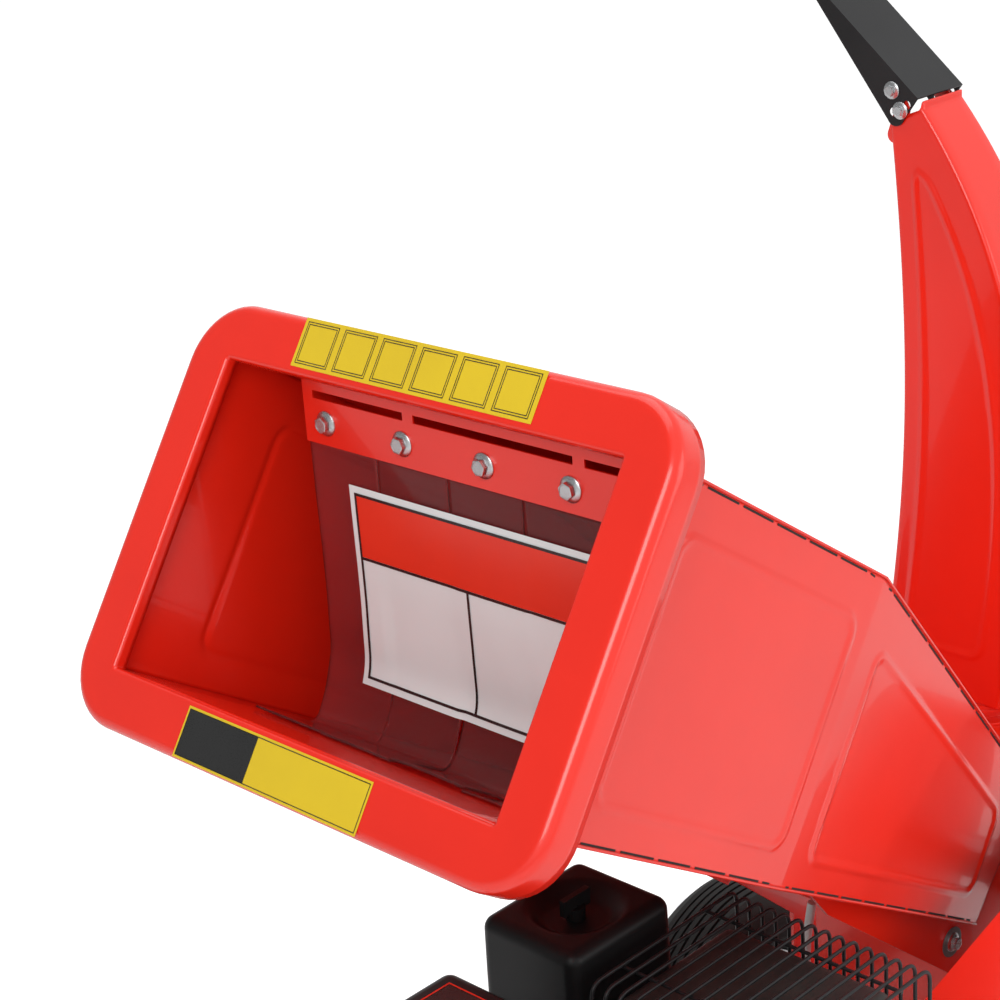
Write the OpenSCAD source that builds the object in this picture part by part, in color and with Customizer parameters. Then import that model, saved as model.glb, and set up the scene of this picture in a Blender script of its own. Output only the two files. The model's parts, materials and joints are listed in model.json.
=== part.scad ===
// Petrol drum wood chipper on a two-wheel chassis.
// Frame: +Z up, ground at z = 0, feed hopper mouth towards -X, belt side -Y.

/* [Hopper] */
// Width of the mouth
mouth_w = 440; // [380:5:480]
// Height of the mouth
mouth_h = 275; // [230:5:320]
// Width of the flat ring around the mouth
rim_w = 50; // [38:1:60]
// Depth of the folded lip behind the ring
rim_lip = 35; // [20:1:50]
// Outer corner radius of the ring
rim_r = 58; // [40:1:70]
// Tilt of the hopper axis below the horizontal
hopper_tilt = 34; // [30:0.5:36]
// Length of the outer, straight part of the hopper
bend_n = 385; // [330:5:420]
// Length of the hopper floor, mouth to throat
floor_n = 855; // [780:5:900]
// Width of the throat
throat_w = 302; // [298:2:320]
// Height of the throat
throat_h = 147; // [120:1:170]
// Sheet thickness of the hopper and chute
sheet_t = 2; // [1.5:0.5:3]
// Height of the mouth centre above the ground
mouth_z = 1090; // [1040:5:1200]

/* [Curtain] */
// Width of the curtain and its strap
curtain_w = 330; // [280:5:360]
// Thickness of the curtain
curtain_t = 3; // [2:0.5:5]
// Height of the strap
strap_h = 40; // [32:1:50]
// Spacing of the strap bolts
strap_pitch = 92; // [70:1:100]

/* [Drum and housing] */
// Radius swept by the blades
drum_r = 100; // [90:1:108]
// Length of the drum
drum_len = 270; // [220:2:274]
// Diameter of the drum shaft
shaft_d = 30; // [24:1:36]
// Height of the drum axis above the ground
drum_z = 515; // [500:1:530]
// Inner width of the housing
housing_w = 280; // [276:2:300]
// Thickness of the housing side plates
side_t = 6; // [4:0.5:8]

/* [Belt drive] */
// Radius of the drum pulley
drum_pulley_r = 118; // [100:1:124]
// Radius of the engine pulley
engine_pulley_r = 45; // [38:1:50]
// Width of both pulleys
pulley_w = 40; // [36:1:46]
// Depth of the belt guard
guard_depth = 95; // [84:1:110]

/* [Chute] */
// Outer radius of the turning base
chute_r = 84; // [78:1:90]
// Width of the chute at its base
chute_w0 = 120; // [100:2:126]
// Width of the chute at its outlet
chute_w1 = 72; // [60:1:90]
// Height of the chute above its base
chute_h = 623; // [540:1:700]
// Length of the deflector
deflector_len = 210; // [150:5:260]
// Distance between the deflector's two bolts
deflector_pitch = 22; // [20:0.5:28]

/* [Chassis and wheels] */
// Radius of the tyres
tyre_r = 165; // [150:1:175]
// Width of the tyres
tyre_w = 110; // [90:1:120]
// Distance between the wheel centres
track = 570; // [550:5:640]
// Diameter of the axle
axle_d = 20; // [16:1:25]
// Side of the square chassis tube
tube = 40; // [30:1:45]
// Distance between the two chassis rails, centre to centre
rail_gap = 340; // [320:2:350]

// Distance between the two anchor holes in the foot
anchor_pitch = 220; // [180:5:230]
// Diameter of the anchor holes
anchor_d = 13; // [9:0.5:14]

/* [Engine] */
// Length of the fuel tank along the crankshaft
tank_l = 296; // [250:2:320]
// Width of the fuel tank
tank_w = 195; // [160:1:210]
// Length of the air filter cover
filter_l = 133; // [120:1:140]
// Width of the air filter cover
filter_w = 115; // [100:1:125]
// Height of the crankshaft above the engine's feet
crank_h = 133; // [125:1:145]
// Diameter of the crankshaft
crank_d = 25; // [20:1:28]

/* [Hidden] */
$fn = 72;

// Running gap between turning faces, and radial play of a shaft in its bore
gap = 0.3;
play = 0.05;
eps = 0.01;

// Finishes
red = [0.86, 0.12, 0.07];
black = [0.07, 0.07, 0.075];
steel = [0.72, 0.73, 0.74];
alloy = [0.6, 0.61, 0.62];
rubber = [0.05, 0.05, 0.05];
pvc = [0.35, 0.12, 0.12];

// Hopper: n runs inwards from the mouth, h upwards across it
mouth_x = -480;
lip_step = 9;
lip_t = sheet_t - 0.4;
body_w0 = mouth_w + 2 * lip_step;
body_top = mouth_h / 2 + lip_step;
floor0 = -mouth_h / 2;
taper = 0.035;
floor_rise = 0.03;
body_w1 = body_w0 - 2 * taper * bend_n;
top_n = floor_n + 30;
floor1 = floor0 + floor_rise * floor_n;
throat_top = floor1 + throat_h;
function hop(n, y, h) = [
    mouth_x + n * cos(hopper_tilt) + h * sin(hopper_tilt), y,
    mouth_z - n * sin(hopper_tilt) + h * cos(hopper_tilt)
];
function floor_at(n) = floor0 + floor_rise * n;
module in_hopper() translate([mouth_x, 0, mouth_z]) rotate([0, hopper_tilt, 0]) children();

// Curtain: hangs straight down from the strap, inside the mouth
strap_n = 45;
strap_top_h = body_top - 18;
hinge = hop(strap_n + strap_h * sin(hopper_tilt), 0, strap_top_h - strap_h * cos(hopper_tilt));
curtain_len = 270;
strap_bolts = 4;
flange_bolt_d = 21.8;

// Drum: its blades pass the anvil at the end of the hopper floor
anvil_tip = hop(floor_n + 40, 0, floor_at(floor_n));
drum_x = anvil_tip[0] + (drum_r + 1) * cos(10);
shell_r = drum_r + 12;
shell_t = 3;
housing_top = drum_z + 125;
chute_x = drum_x + 90;
collar_r = 72;
housing_x1 = chute_x + collar_r + 5;
side_in = housing_w / 2;
side_out = side_in + side_t;

// Belt drive
engine_x = -460;
engine_y = -130;
plate_t = 6;
rail_top = 255;
foot_z = rail_top + plate_t;
crank_z = foot_z + crank_h;
guard_y1 = -(side_out + 89);
guard_y0 = guard_y1 - guard_depth;
belt_y = guard_y1 - 45;
guard_r1 = engine_pulley_r + 20;
guard_r2 = drum_pulley_r + 26;

// Chute: base ring and the two edge curves, as cubic curves in Y and Z
collar_z0 = housing_top + 6;
base_z = collar_z0 + 18;
chute_z = base_z + gap + 4;
outlet = [38, chute_z + chute_h];
inner_curve = [[74, chute_z], [50, chute_z + 192], [38, chute_z + 332],
    [75, chute_z + chute_h - 14]];
outer_curve = [[-74, chute_z], [-110, chute_z + 182], [-125, chute_z + 422], outlet];
flow = 41;
pivot = outlet + [32, 16];
// Half width of the chute at a height
function half_w(z) = (chute_w0 + (chute_w1 - chute_w0) * (z - chute_z) / (chute_h + 20)) / 2;
cheek_t = 2;
cheek_x = half_w(outlet[1] - 32) + gap;
fold_h = 13.5;
slot_swing = 25;
slot_a = 202;
bolt_r = 4;
lower_bolt = pivot + deflector_pitch * [cos(slot_a + flow), sin(slot_a + flow)];

// Wheels
axle_x = 315;
axle_z = tyre_r;
rail_y = rail_gap / 2;
rail_x0 = -640;
rail_x1 = 440;
hub_r = 62;

// Engine
cyl_a = 25;
tank_x = -590;
tank_y1 = 17;
tank_z0 = 545;
tank_z1 = 690;
filter_x = -272.5;
filter_y = -20.5;
filter_z0 = 605;
filter_z1 = 700;
muffler_x = [-325, -165];
muffler_y = [-290, -106];
muffler_z = [575, 665];
// Ports on the head's two sides
port_z = 522;
carb_x = -278;
inlet_r = 15;
exhaust_x = -282;
exhaust_r = 17;

function bez(p, t) = p[0] * pow(1 - t, 3) + 3 * p[1] * t * pow(1 - t, 2)
    + 3 * p[2] * t * t * (1 - t) + p[3] * pow(t, 3);
function bez_dir(p, t) = let (d = 3 * (p[1] - p[0]) * pow(1 - t, 2)
    + 6 * (p[2] - p[1]) * t * (1 - t) + 3 * (p[3] - p[2]) * t * t) d / norm(d);
// Points of a curve, moved sideways by off
function edge(p, off, n = 16) = [for (i = [0:n])
    let (t = i / n, d = bez_dir(p, t)) bez(p, t) + off * [-d[1], d[0]]];
function back(list) = [for (i = [len(list) - 1:-1:0]) list[i]];
function arc(c, r, a0, a1, n) = [for (i = [0:n])
    let (a = a0 + (a1 - a0) * i / n) c + r * [cos(a), sin(a)]];

// ---------- shared shapes ----------
module box(a, b) translate(a) cube(b - a);
module rod(a, b, r) {
    d = b - a;
    translate(a) rotate([0, acos(d[2] / norm(d)), atan2(d[1], d[0])]) cylinder(h = norm(d), r = r);
}
// Upright in Y: profile in X and Z, from y0 to y1
module along_y(y0, y1) translate([0, y1, 0]) rotate([90, 0, 0]) linear_extrude(y1 - y0) children();
module disc_y(x, z, y0, y1, r) translate([x, y1, z]) rotate([90, 0, 0]) cylinder(h = y1 - y0, r = r);
module rounded(w, h, r) {
    square([w - 2 * r, h], center = true);
    square([w, h - 2 * r], center = true);
    for (x = [-1, 1], y = [-1, 1]) translate([x * (w / 2 - r), y * (h / 2 - r)]) circle(r);
}
// Hexagon flange bolt standing on the XY plane, shank below it
module flange_bolt(flange, shank_d, shank_l) {
    cylinder(h = 1.6, d = flange);
    translate([0, 0, 1.5]) cylinder(h = 6.5, d = flange * 0.66, $fn = 6);
    translate([0, 0, -shank_l]) cylinder(h = shank_l + eps, d = shank_d);
}

// ---------- hopper ----------
module hopper_rim() {
    color(red) in_hopper() rotate([90, 0, 90]) {
        difference() {
            linear_extrude(rim_lip) rounded(mouth_w + 2 * rim_w, mouth_h + 2 * rim_w, rim_r);
            translate([0, 0, sheet_t]) linear_extrude(rim_lip)
                rounded(mouth_w + 2 * rim_w - 2 * sheet_t, mouth_h + 2 * rim_w - 2 * sheet_t,
                    rim_r - sheet_t);
            translate([0, 0, -1]) linear_extrude(rim_lip) square([mouth_w, mouth_h], center = true);
        }
        // rolled lip inside the mouth
        difference() {
            translate([0, 0, sheet_t - eps]) linear_extrude(10)
                square([mouth_w + 2 * lip_t, mouth_h + 2 * lip_t], center = true);
            linear_extrude(rim_lip) square([mouth_w, mouth_h], center = true);
        }
    }
}
// Folded sheet: pairs of points at each station, thickened along the normals
module folded(st, t) {
    k = len(st) - 1;
    nn = [for (i = [0:k - 1]) let (c = cross(st[i + 1][0] - st[i][0], st[i][1] - st[i][0]))
        c / norm(c)];
    off = [for (i = [0:k]) let (u = nn[max(i - 1, 0)], v = nn[min(i, k - 1)])
        t * (u + v) / (1 + u * v)];
    quads = concat(
        [[1, 3, 2, 0], [4 * k, 4 * k + 2, 4 * k + 3, 4 * k + 1]],
        [for (i = [0:k - 1]) [4 * i, 4 * i + 4, 4 * i + 5, 4 * i + 1]],
        [for (i = [0:k - 1]) [4 * i + 3, 4 * i + 7, 4 * i + 6, 4 * i + 2]],
        [for (i = [0:k - 1]) [4 * i, 4 * i + 2, 4 * i + 6, 4 * i + 4]],
        [for (i = [0:k - 1]) [4 * i + 5, 4 * i + 7, 4 * i + 3, 4 * i + 1]]
    );
    polyhedron(
        [for (i = [0:k]) each [st[i][0], st[i][1], st[i][0] + off[i], st[i][1] + off[i]]],
        [for (q = quads) each [[q[0], q[1], q[2]], [q[0], q[2], q[3]]]]
    );
}
// Inner half width of the hopper at a distance from the mouth
function half_y(n) = n < bend_n ? body_w0 / 2 + (body_w1 - body_w0) / 2 * n / bend_n
    : body_w1 / 2 + (throat_w - body_w1) / 2 * (n - bend_n) / (floor_n - bend_n);
module hopper_side() color(red) in_hopper() folded([
    [[sheet_t, -half_y(sheet_t), floor_at(0) - sheet_t], [sheet_t, -half_y(sheet_t), body_top]],
    [[bend_n, -half_y(bend_n), floor_at(bend_n)], [bend_n, -half_y(bend_n), body_top]],
    [[floor_n, -half_y(floor_n), floor_at(floor_n)], [top_n, -half_y(top_n), throat_top]]
], sheet_t);
module hopper_left_panel() mirror([0, 1, 0]) hopper_side();
module hopper_right_panel() hopper_side();
// Top or floor panel from its height at three distances from the mouth
module hopper_cross(n, h, s) color(red) in_hopper() folded([for (i = [0:2])
    let (w = half_y(n[i]) - eps) [[n[i], -s * w, h[i]], [n[i], s * w, h[i]]]], sheet_t);
module hopper_top_panel() hopper_cross([sheet_t, bend_n, top_n],
    [body_top, body_top, throat_top], 1);
module hopper_floor_panel() hopper_cross([sheet_t, bend_n, floor_n],
    [floor_at(0) - sheet_t, floor_at(bend_n), floor_at(floor_n)], -1);

// Gusset plates under the floor, bolted to ears of the housing
gusset_t = 4;
gusset_n0 = floor_n - 330;
gusset_bolt = hop(floor_n - 30, 0, floor_at(floor_n) - 25);
module hopper_gussets() {
    a = hop(gusset_n0, 0, floor_at(gusset_n0) - sheet_t);
    b = hop(floor_n, 0, floor_at(floor_n) - sheet_t);
    c = hop(floor_n + 25, 0, floor_at(floor_n) - 30);
    d = hop(floor_n + 10, 0, floor_at(floor_n) - 58);
    e = hop(gusset_n0 + 60, 0, floor_at(gusset_n0) - 22);
    color(red) for (m = [0, 1]) mirror([0, m, 0]) difference() {
        along_y(side_out + eps, side_out + gusset_t)
            polygon([for (p = [a, b, c, d, e]) [p[0], p[2]]]);
        disc_y(gusset_bolt[0], gusset_bolt[2], side_out - 1, side_out + gusset_t + 1, 5.2);
    }
}
module gusset_bolts() color(steel) for (m = [0, 1]) mirror([0, m, 0])
    translate([gusset_bolt[0], side_out + gusset_t, gusset_bolt[2]]) rotate([-90, 0, 0])
        flange_bolt(flange_bolt_d, 10, gusset_t + side_t + 8);

strap_x = hinge[0];
strap_z0 = hinge[2];
strap_z1 = strap_z0 + strap_h;
// Past the curtain's edge on one side, and the height of the slots below the top part
strap_reach = 30;
strap_slot = 7;
strap_y0 = -curtain_w / 2 - strap_reach;
function bolt_y(i) = (i - (strap_bolts - 1) / 2) * strap_pitch;
module curtain_strap() color(red) {
    difference() {
        box([strap_x, strap_y0, strap_z0], [strap_x + sheet_t, curtain_w / 2, strap_z1]);
        for (i = [0:strap_bolts - 1]) translate([strap_x - 1, bolt_y(i), strap_z0 + strap_h / 2])
            rotate([0, 90, 0]) cylinder(h = sheet_t + 2, d = 10.2);
    }
    for (y = [curtain_w / 2 - 6, curtain_w * 0.115, -curtain_w * 0.445])
        box([strap_x, y - 6, strap_z1 - eps], [strap_x + sheet_t, y + 6, strap_z1 + strap_slot + 1]);
    intersection() {
        box([strap_x, strap_y0, strap_z1 + strap_slot], [strap_x + sheet_t, curtain_w / 2,
            strap_z1 + 40]);
        in_hopper() box([0, -body_w0, 0], [bend_n, body_w0, body_top]);
    }
}
module curtain_bolts() color(steel) for (i = [0:strap_bolts - 1])
    translate([strap_x, bolt_y(i), strap_z0 + strap_h / 2]) rotate([0, -90, 0])
        flange_bolt(flange_bolt_d, 10, sheet_t + 14);
module safety_curtain() color(pvc) {
    x0 = strap_x + sheet_t + gap;
    box([x0, -curtain_w / 2, strap_z0 - gap - curtain_len],
        [x0 + curtain_t, curtain_w / 2, strap_z0 - gap]);
}

// ---------- housing ----------
drum_c = [drum_x, drum_z];
function shell_line(off) = let (
    r = shell_r + off,
    a = anvil_tip
) concat(
    [[a[0] - 9 - off / 2, a[2] - 12 - off / 2]],
    arc(drum_c, r, 201, 350, 24),
    [[housing_x1 + off, drum_z + 45], [housing_x1 + off, housing_top]]
);
// The side plates slip inside the end of the hopper, round the end of its floor
plate_lap = 12;
module plate_outline() {
    end_h = floor_at(floor_n);
    ear = [gusset_bolt[0], gusset_bolt[2]];
    rim = [
        hop(floor_n + 1, 0, end_h - sheet_t - 1), hop(floor_n + 1, 0, end_h + 1),
        hop(floor_n - plate_lap, 0, end_h + 1.5), hop(top_n - plate_lap, 0, throat_top - 1),
        hop(top_n + 1, 0, throat_top - 1), hop(top_n + 1, 0, throat_top + 3)
    ];
    polygon(concat(
        [for (p = rim) [p[0], p[2]]],
        [[rim[5][0] + 8, housing_top], [housing_x1 + shell_t, housing_top]],
        [[housing_x1 + shell_t, drum_z + 43], [450, 470], [430, rail_top]],
        [[250, rail_top], [250, 380]],
        [[ear[0] - 10, ear[1] - 18], [ear[0] - 18, ear[1]], [ear[0] - 12, ear[1] + 16]]
    ));
}
module side_plate(s) color(red) difference() {
    mirror([0, s < 0 ? 1 : 0, 0]) along_y(side_in, side_out) plate_outline();
    mirror([0, s < 0 ? 1 : 0, 0]) {
        disc_y(drum_x, drum_z, side_in - 1, side_out + 1, shaft_d / 2 + 4);
        disc_y(gusset_bolt[0], gusset_bolt[2], side_in - 1, side_out + 1, 5.2);
    }
}
module housing_left_plate() side_plate(1);
module housing_right_plate() side_plate(-1);
module housing_shell() color(red) {
    along_y(-side_in, side_in) polygon(concat(shell_line(shell_t), back(shell_line(0))));
    difference() {
        top_end = hop(top_n, 0, throat_top + 3);
        translate([0, 0, housing_top]) linear_extrude(6) difference() {
            translate([top_end[0] + 8, -side_out]) square([housing_x1 + shell_t - top_end[0] - 8,
                2 * side_out]);
            translate([chute_x, 0]) circle(collar_r - 5);
        }
    }
    // front lip that closes the gap above the throat
    p = hop(top_n, 0, throat_top + 3);
    along_y(-side_in, side_in) polygon([[p[0], p[2]], [p[0] + 3, p[2]],
        [p[0] + 13, housing_top + eps], [p[0] + 8, housing_top + eps]]);
}
stand_x = 205;
stand_top = drum_z - sqrt(pow(shell_r + shell_t, 2) - pow(drum_x - stand_x - 4, 2)) - gap;
module stand_wall() color(red) {
    box([stand_x, -side_in, rail_top], [stand_x + 4, side_in - 65, stand_top]);
    box([stand_x + 4, -side_in, rail_top], [stand_x + 45, -side_in + 4, 380]);
    box([stand_x, -side_in, rail_top], [430, side_in, rail_top + 4]);
}
anvil_t = 10;
module anvil() color(steel) {
    p = anvil_tip;
    translate([p[0], 0, p[2]]) rotate([0, hopper_tilt, 0])
        translate([-46, -side_in, -anvil_t - sheet_t - gap]) difference() {
            cube([46, 2 * side_in, anvil_t]);
            translate([40, -1, -anvil_t]) rotate([0, -40, 0]) cube([20, 2 * side_in + 2, 14]);
        }
}
module drum_shaft() color(steel) disc_y(drum_x, drum_z, guard_y1 - pulley_w - 36, side_out + 38,
    shaft_d / 2);
drum_body_r = 82;
module drum() color(alloy) difference() {
    disc_y(drum_x, drum_z, -drum_len / 2, drum_len / 2, drum_body_r);
    disc_y(drum_x, drum_z, -drum_len, drum_len, shaft_d / 2);
    for (a = [60, 240]) translate([drum_x, 0, drum_z]) rotate([0, a, 0])
        translate([52, -drum_len / 2 - 1, -16]) cube([60, drum_len + 2, 12]);
}
module drum_blades() color(steel) for (a = [60, 240]) translate([drum_x, 0, drum_z])
    rotate([0, a, 0]) intersection() {
        translate([52, -drum_len / 2 + 2, -16]) cube([60, drum_len - 4, 12]);
        rotate([90, 0, 0]) cylinder(h = 2 * drum_len, r = drum_r, center = true);
    }
module drum_bearings() color([0.2, 0.24, 0.22]) for (m = [0, 1]) mirror([0, m, 0]) difference() {
    union() {
        along_y(side_out, side_out + 10) translate(drum_c) rotate(45) rounded(92, 92, 16);
        disc_y(drum_x, drum_z, side_out, side_out + 30, 36);
    }
    disc_y(drum_x, drum_z, side_out - 1, side_out + 40, shaft_d / 2 + play);
}

// ---------- belt drive ----------
module grooved(r) {
    // V grooves for two belts
    w = pulley_w;
    rotate([90, 0, 0]) rotate_extrude() polygon([
        [0.1, -w / 2], [r, -w / 2], [r, -w / 2 + 3], [r - 9, -w / 2 + 7], [r - 9, -w / 2 + 11],
        [r, -w / 2 + 15], [r, w / 2 - 15], [r - 9, w / 2 - 11], [r - 9, w / 2 - 7],
        [r, w / 2 - 3], [r, w / 2], [0.1, w / 2]
    ]);
}
module drum_pulley() color(alloy) difference() {
    translate([drum_x, belt_y, drum_z]) grooved(drum_pulley_r);
    disc_y(drum_x, drum_z, belt_y - pulley_w, belt_y + pulley_w, shaft_d / 2);
    for (a = [0:60:300]) translate([drum_x + 70 * cos(a), belt_y, drum_z + 70 * sin(a)])
        rotate([90, 0, 0]) cylinder(h = pulley_w + 2, r = 20, center = true);
}
module engine_pulley() color(alloy) difference() {
    translate([engine_x, belt_y, crank_z]) grooved(engine_pulley_r);
    disc_y(engine_x, crank_z, belt_y - pulley_w, belt_y + pulley_w, crank_d / 2);
}
// Closed loop round the two pulleys, as an outline at a radius offset
function loop_pts(c1, r1, c2, r2) = let (
    d = c2 - c1, l = norm(d), a = atan2(d[1], d[0]), b = asin((r2 - r1) / l)
) concat(arc(c1, r1, a + 90 + b, a + 270 - b, 16), arc(c2, r2, a - 90 - b, a + 90 + b, 24));
crank_c = [engine_x, crank_z];
module drive_belts() color(rubber) for (k = [-1, 1])
    along_y(belt_y + k * (pulley_w / 2 - 9) - 1.8, belt_y + k * (pulley_w / 2 - 9) + 1.8)
        difference() {
            polygon(loop_pts(crank_c, engine_pulley_r - 9 + gap + 8, drum_c,
                drum_pulley_r - 9 + gap + 8));
            polygon(loop_pts(crank_c, engine_pulley_r - 9 + gap, drum_c,
                drum_pulley_r - 9 + gap));
        }
module belt_guard() color(red) difference() {
    along_y(guard_y0, guard_y1) polygon(loop_pts(crank_c, guard_r1, drum_c, guard_r2));
    along_y(guard_y0 + sheet_t, guard_y1 + 1)
        polygon(loop_pts(crank_c, guard_r1 - sheet_t, drum_c, guard_r2 - sheet_t));
    for (i = [0:9]) translate([drum_x - 60 + i * 12, guard_y0 - 1, drum_z - 45])
        cube([5, sheet_t + 2, 90]);
    for (p = guard_at) disc_y(p[0], p[1], guard_y0 - 1, guard_y0 + sheet_t + 1, bolt_r + play);
}

// Posts inside the guard: two on the housing's side plate, one on the engine between the belt's runs
post_r = 9;
post_at = [for (a = [60, -45]) drum_c + (guard_r2 - sheet_t - post_r - 2) * [cos(a), sin(a)]];
engine_post = [engine_x + 70, crank_z + 10];
guard_at = concat(post_at, [engine_post]);
guard_bolt_l = 14;
module guard_posts() color(black) difference() {
    union() {
        for (p = post_at) disc_y(p[0], p[1], guard_y0 + sheet_t, -side_out, post_r);
        disc_y(engine_post[0], engine_post[1], guard_y0 + sheet_t, engine_y - 105 + 4, post_r);
    }
    for (p = guard_at) disc_y(p[0], p[1], guard_y0, guard_y0 + guard_bolt_l + 1, bolt_r + play);
}
// Bolts of one size: three on the belt guard, four through the engine's feet
foot_x = [-102, 104];
foot_y = [-95, 95];
foot_plate_t = 8;
foot_bolt_out = 10;
small_flange_d = 17.9;
module small_bolts() color(steel) {
    for (p = guard_at) translate([p[0], guard_y0, p[1]]) rotate([90, 0, 0])
        flange_bolt(small_flange_d, 2 * bolt_r, guard_bolt_l);
    for (x = foot_x, y = foot_y)
        translate([engine_x + x, engine_y + y, foot_z + foot_plate_t + eps])
            flange_bolt(small_flange_d, 2 * bolt_r, foot_plate_t + plate_t + foot_bolt_out);
}

// ---------- chute ----------
module chute_collar() color(red) translate([chute_x, 0, collar_z0]) difference() {
    union() {
        cylinder(h = base_z - collar_z0, r = collar_r);
        translate([0, 0, base_z - collar_z0 - 4]) cylinder(h = 4, r = chute_r);
        cylinder(h = 3, r = chute_r + 3);
    }
    translate([0, 0, -1]) cylinder(h = 40, r = collar_r - 5);
}
// Turning base: a disc on the collar's flange, with three clamps that hook under it
clamp_n = 3;
module chute_base() color(red) translate([chute_x, 0, base_z + gap]) {
    difference() {
        cylinder(h = 4, r = chute_r);
        translate([0, 0, -1]) cylinder(h = 6, r = 58);
    }
    for (i = [0:clamp_n - 1]) rotate(i * 360 / clamp_n + 30) {
        translate([chute_r - 1, -11, -10]) difference() {
            cube([7, 22, 14]);
            translate([-1, -1, 4]) cube([1 + 1 + gap, 24, 6 + eps]);
        }
        translate([chute_r - 6, -11, -10]) cube([7, 22, 4]);
    }
}
// The chute's walls lean in along X from base to outlet
module lean(inset) {
    w0 = chute_w0 / 2 - inset;
    w1 = chute_w1 / 2 - inset;
    translate([0, 200, 0]) rotate([90, 0, 0]) linear_extrude(400) polygon([
        [chute_x - w0, chute_z], [chute_x + w0, chute_z],
        [chute_x + w1, chute_z + chute_h + 20], [chute_x - w1, chute_z + chute_h + 20]
    ]);
}
module horn(a, b) translate([chute_x - chute_w0, 0, 0]) rotate([90, 0, 90])
    linear_extrude(2 * chute_w0) polygon(concat(a, back(b)));
// Ear at the outlet that carries the deflector's bolts
ear_r = 9;
module outlet_ear() translate([chute_x - chute_w0, 0, 0]) rotate([90, 0, 90])
    linear_extrude(2 * chute_w0) {
        for (p = [pivot, lower_bolt]) translate(p) circle(ear_r);
        // straight parts a little narrower than the rounds, so that they cross them cleanly
        w = ear_r - 0.4;
        translate(pivot) rotate(slot_a + flow) translate([0, -w]) square([deflector_pitch, 2 * w]);
        translate(lower_bolt) rotate(-70) translate([0, -w]) square([28, 2 * w]);
    }
module chute_side(s) color(red) intersection() {
    difference() {
        union() {
            horn(edge(inner_curve, 0), edge(outer_curve, 0));
            outlet_ear();
        }
        for (p = [pivot, lower_bolt]) translate([0, p[0], p[1]]) rotate([0, 90, 0])
            cylinder(h = 1000, r = bolt_r + 0.1);
    }
    difference() {
        lean(0);
        lean(sheet_t);
    }
    translate([s < 0 ? chute_x - 200 : chute_x, -200, chute_z]) cube([200, 400, chute_h + 40]);
}
module chute_left_plate() chute_side(-1);
module chute_right_plate() chute_side(1);
module chute_curved_plates() color(red) intersection() {
    union() {
        horn(edge(inner_curve, 0), edge(inner_curve, sheet_t));
        horn(edge(outer_curve, 0), edge(outer_curve, -sheet_t));
    }
    lean(sheet_t);
}
// Deflector: a channel that turns on its upper bolt, guided by a slot round the lower one
module arc_slot(r, half_w, a0, a1) {
    intersection() {
        difference() {
            circle(r + half_w);
            circle(r - half_w);
        }
        polygon([[0, 0], 2 * r * [cos(a0), sin(a0)], 3 * r * [cos((a0 + a1) / 2),
            sin((a0 + a1) / 2)], 2 * r * [cos(a1), sin(a1)]]);
    }
    for (a = [a0, a1]) rotate(a) translate([r, 0]) circle(half_w + 0.05);
}
cheek_back = -27;
cheek_low = [-20, -17];
cheek_round = 10;
module cheek() linear_extrude(cheek_t) difference() {
    union() {
        polygon([
            [cheek_back, fold_h + eps], [cheek_low[0] - cheek_round + 0.4, cheek_low[1]],
            cheek_low, [cheek_low[0] + 2, cheek_low[1] - cheek_round + 0.4],
            [deflector_len + cheek_back - 30, fold_h - 4], [deflector_len + cheek_back - 30,
            fold_h + eps]
        ]);
        translate(cheek_low) circle(cheek_round);
    }
    circle(bolt_r + play);
    arc_slot(deflector_pitch, bolt_r + 0.4, slot_a - slot_swing, slot_a + slot_swing);
}
module deflector() color(black) translate([chute_x, pivot[0], pivot[1]]) rotate([90, 0, 90])
    rotate(flow) {
        translate([0, 0, cheek_x]) cheek();
        translate([0, 0, -cheek_x - cheek_t]) cheek();
        translate([cheek_back, fold_h, -cheek_x - cheek_t])
            cube([deflector_len, cheek_t, 2 * (cheek_x + cheek_t)]);
    }
module deflector_bolts() color(steel) for (m = [0, 1], p = [pivot, lower_bolt])
    translate([chute_x, p[0], p[1]]) mirror([m, 0, 0]) rotate([0, -90, 0])
        translate([0, 0, cheek_x + cheek_t + gap]) flange_bolt(small_flange_d, 2 * bolt_r, 12);

// ---------- chassis ----------
cross_x = [rail_x0, -370, 215, 390];
module chassis_frame() color(black) {
    for (s = [-1, 1]) box([rail_x0, s * rail_y - tube / 2, rail_top - tube],
        [rail_x1, s * rail_y + tube / 2, rail_top]);
    difference() {
        for (x = cross_x) box([x, -rail_y, rail_top - tube], [x + tube, rail_y, rail_top]);
        for (x = foot_x, y = foot_y)
            translate([engine_x + x, engine_y + y, rail_top - foot_bolt_out - 1])
                cylinder(h = foot_bolt_out + 2, r = bolt_r + play);
    }
    for (s = [-1, 1]) difference() {
        translate([axle_x - 35, s * (rail_y + tube / 2 + 3) - 3, axle_z - 25])
            cube([70, 6, rail_top - axle_z + 25]);
        disc_y(axle_x, axle_z, -rail_y - 40, rail_y + 40, axle_d / 2);
    }
    // ears for the tow bar
    for (y = [-26, 20]) difference() {
        box([rail_x0 - 30, y, rail_top - tube], [rail_x0, y + 6, rail_top]);
        disc_y(rail_x0 - 15, rail_top - tube / 2, -40, 40, 6);
    }
}
module engine_plate() color(black) difference() {
    box([engine_x - 125, engine_y - 120, rail_top], [engine_x + 125, rail_y + tube / 2, foot_z]);
    for (x = foot_x, y = foot_y) translate([engine_x + x, engine_y + y, rail_top - 1])
        cylinder(h = plate_t + 2, r = bolt_r + play);
}
module axle() color(steel) {
    disc_y(axle_x, axle_z, -track / 2 - tyre_w / 2 - 8, track / 2 + tyre_w / 2 + 8, axle_d / 2);
    for (s = [-1, 1]) disc_y(axle_x, axle_z, s * (track / 2 + tyre_w / 2 + 4) - 3,
        s * (track / 2 + tyre_w / 2 + 4) + 3, axle_d / 2 + 8);
}
rim_r0 = 76;
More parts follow.
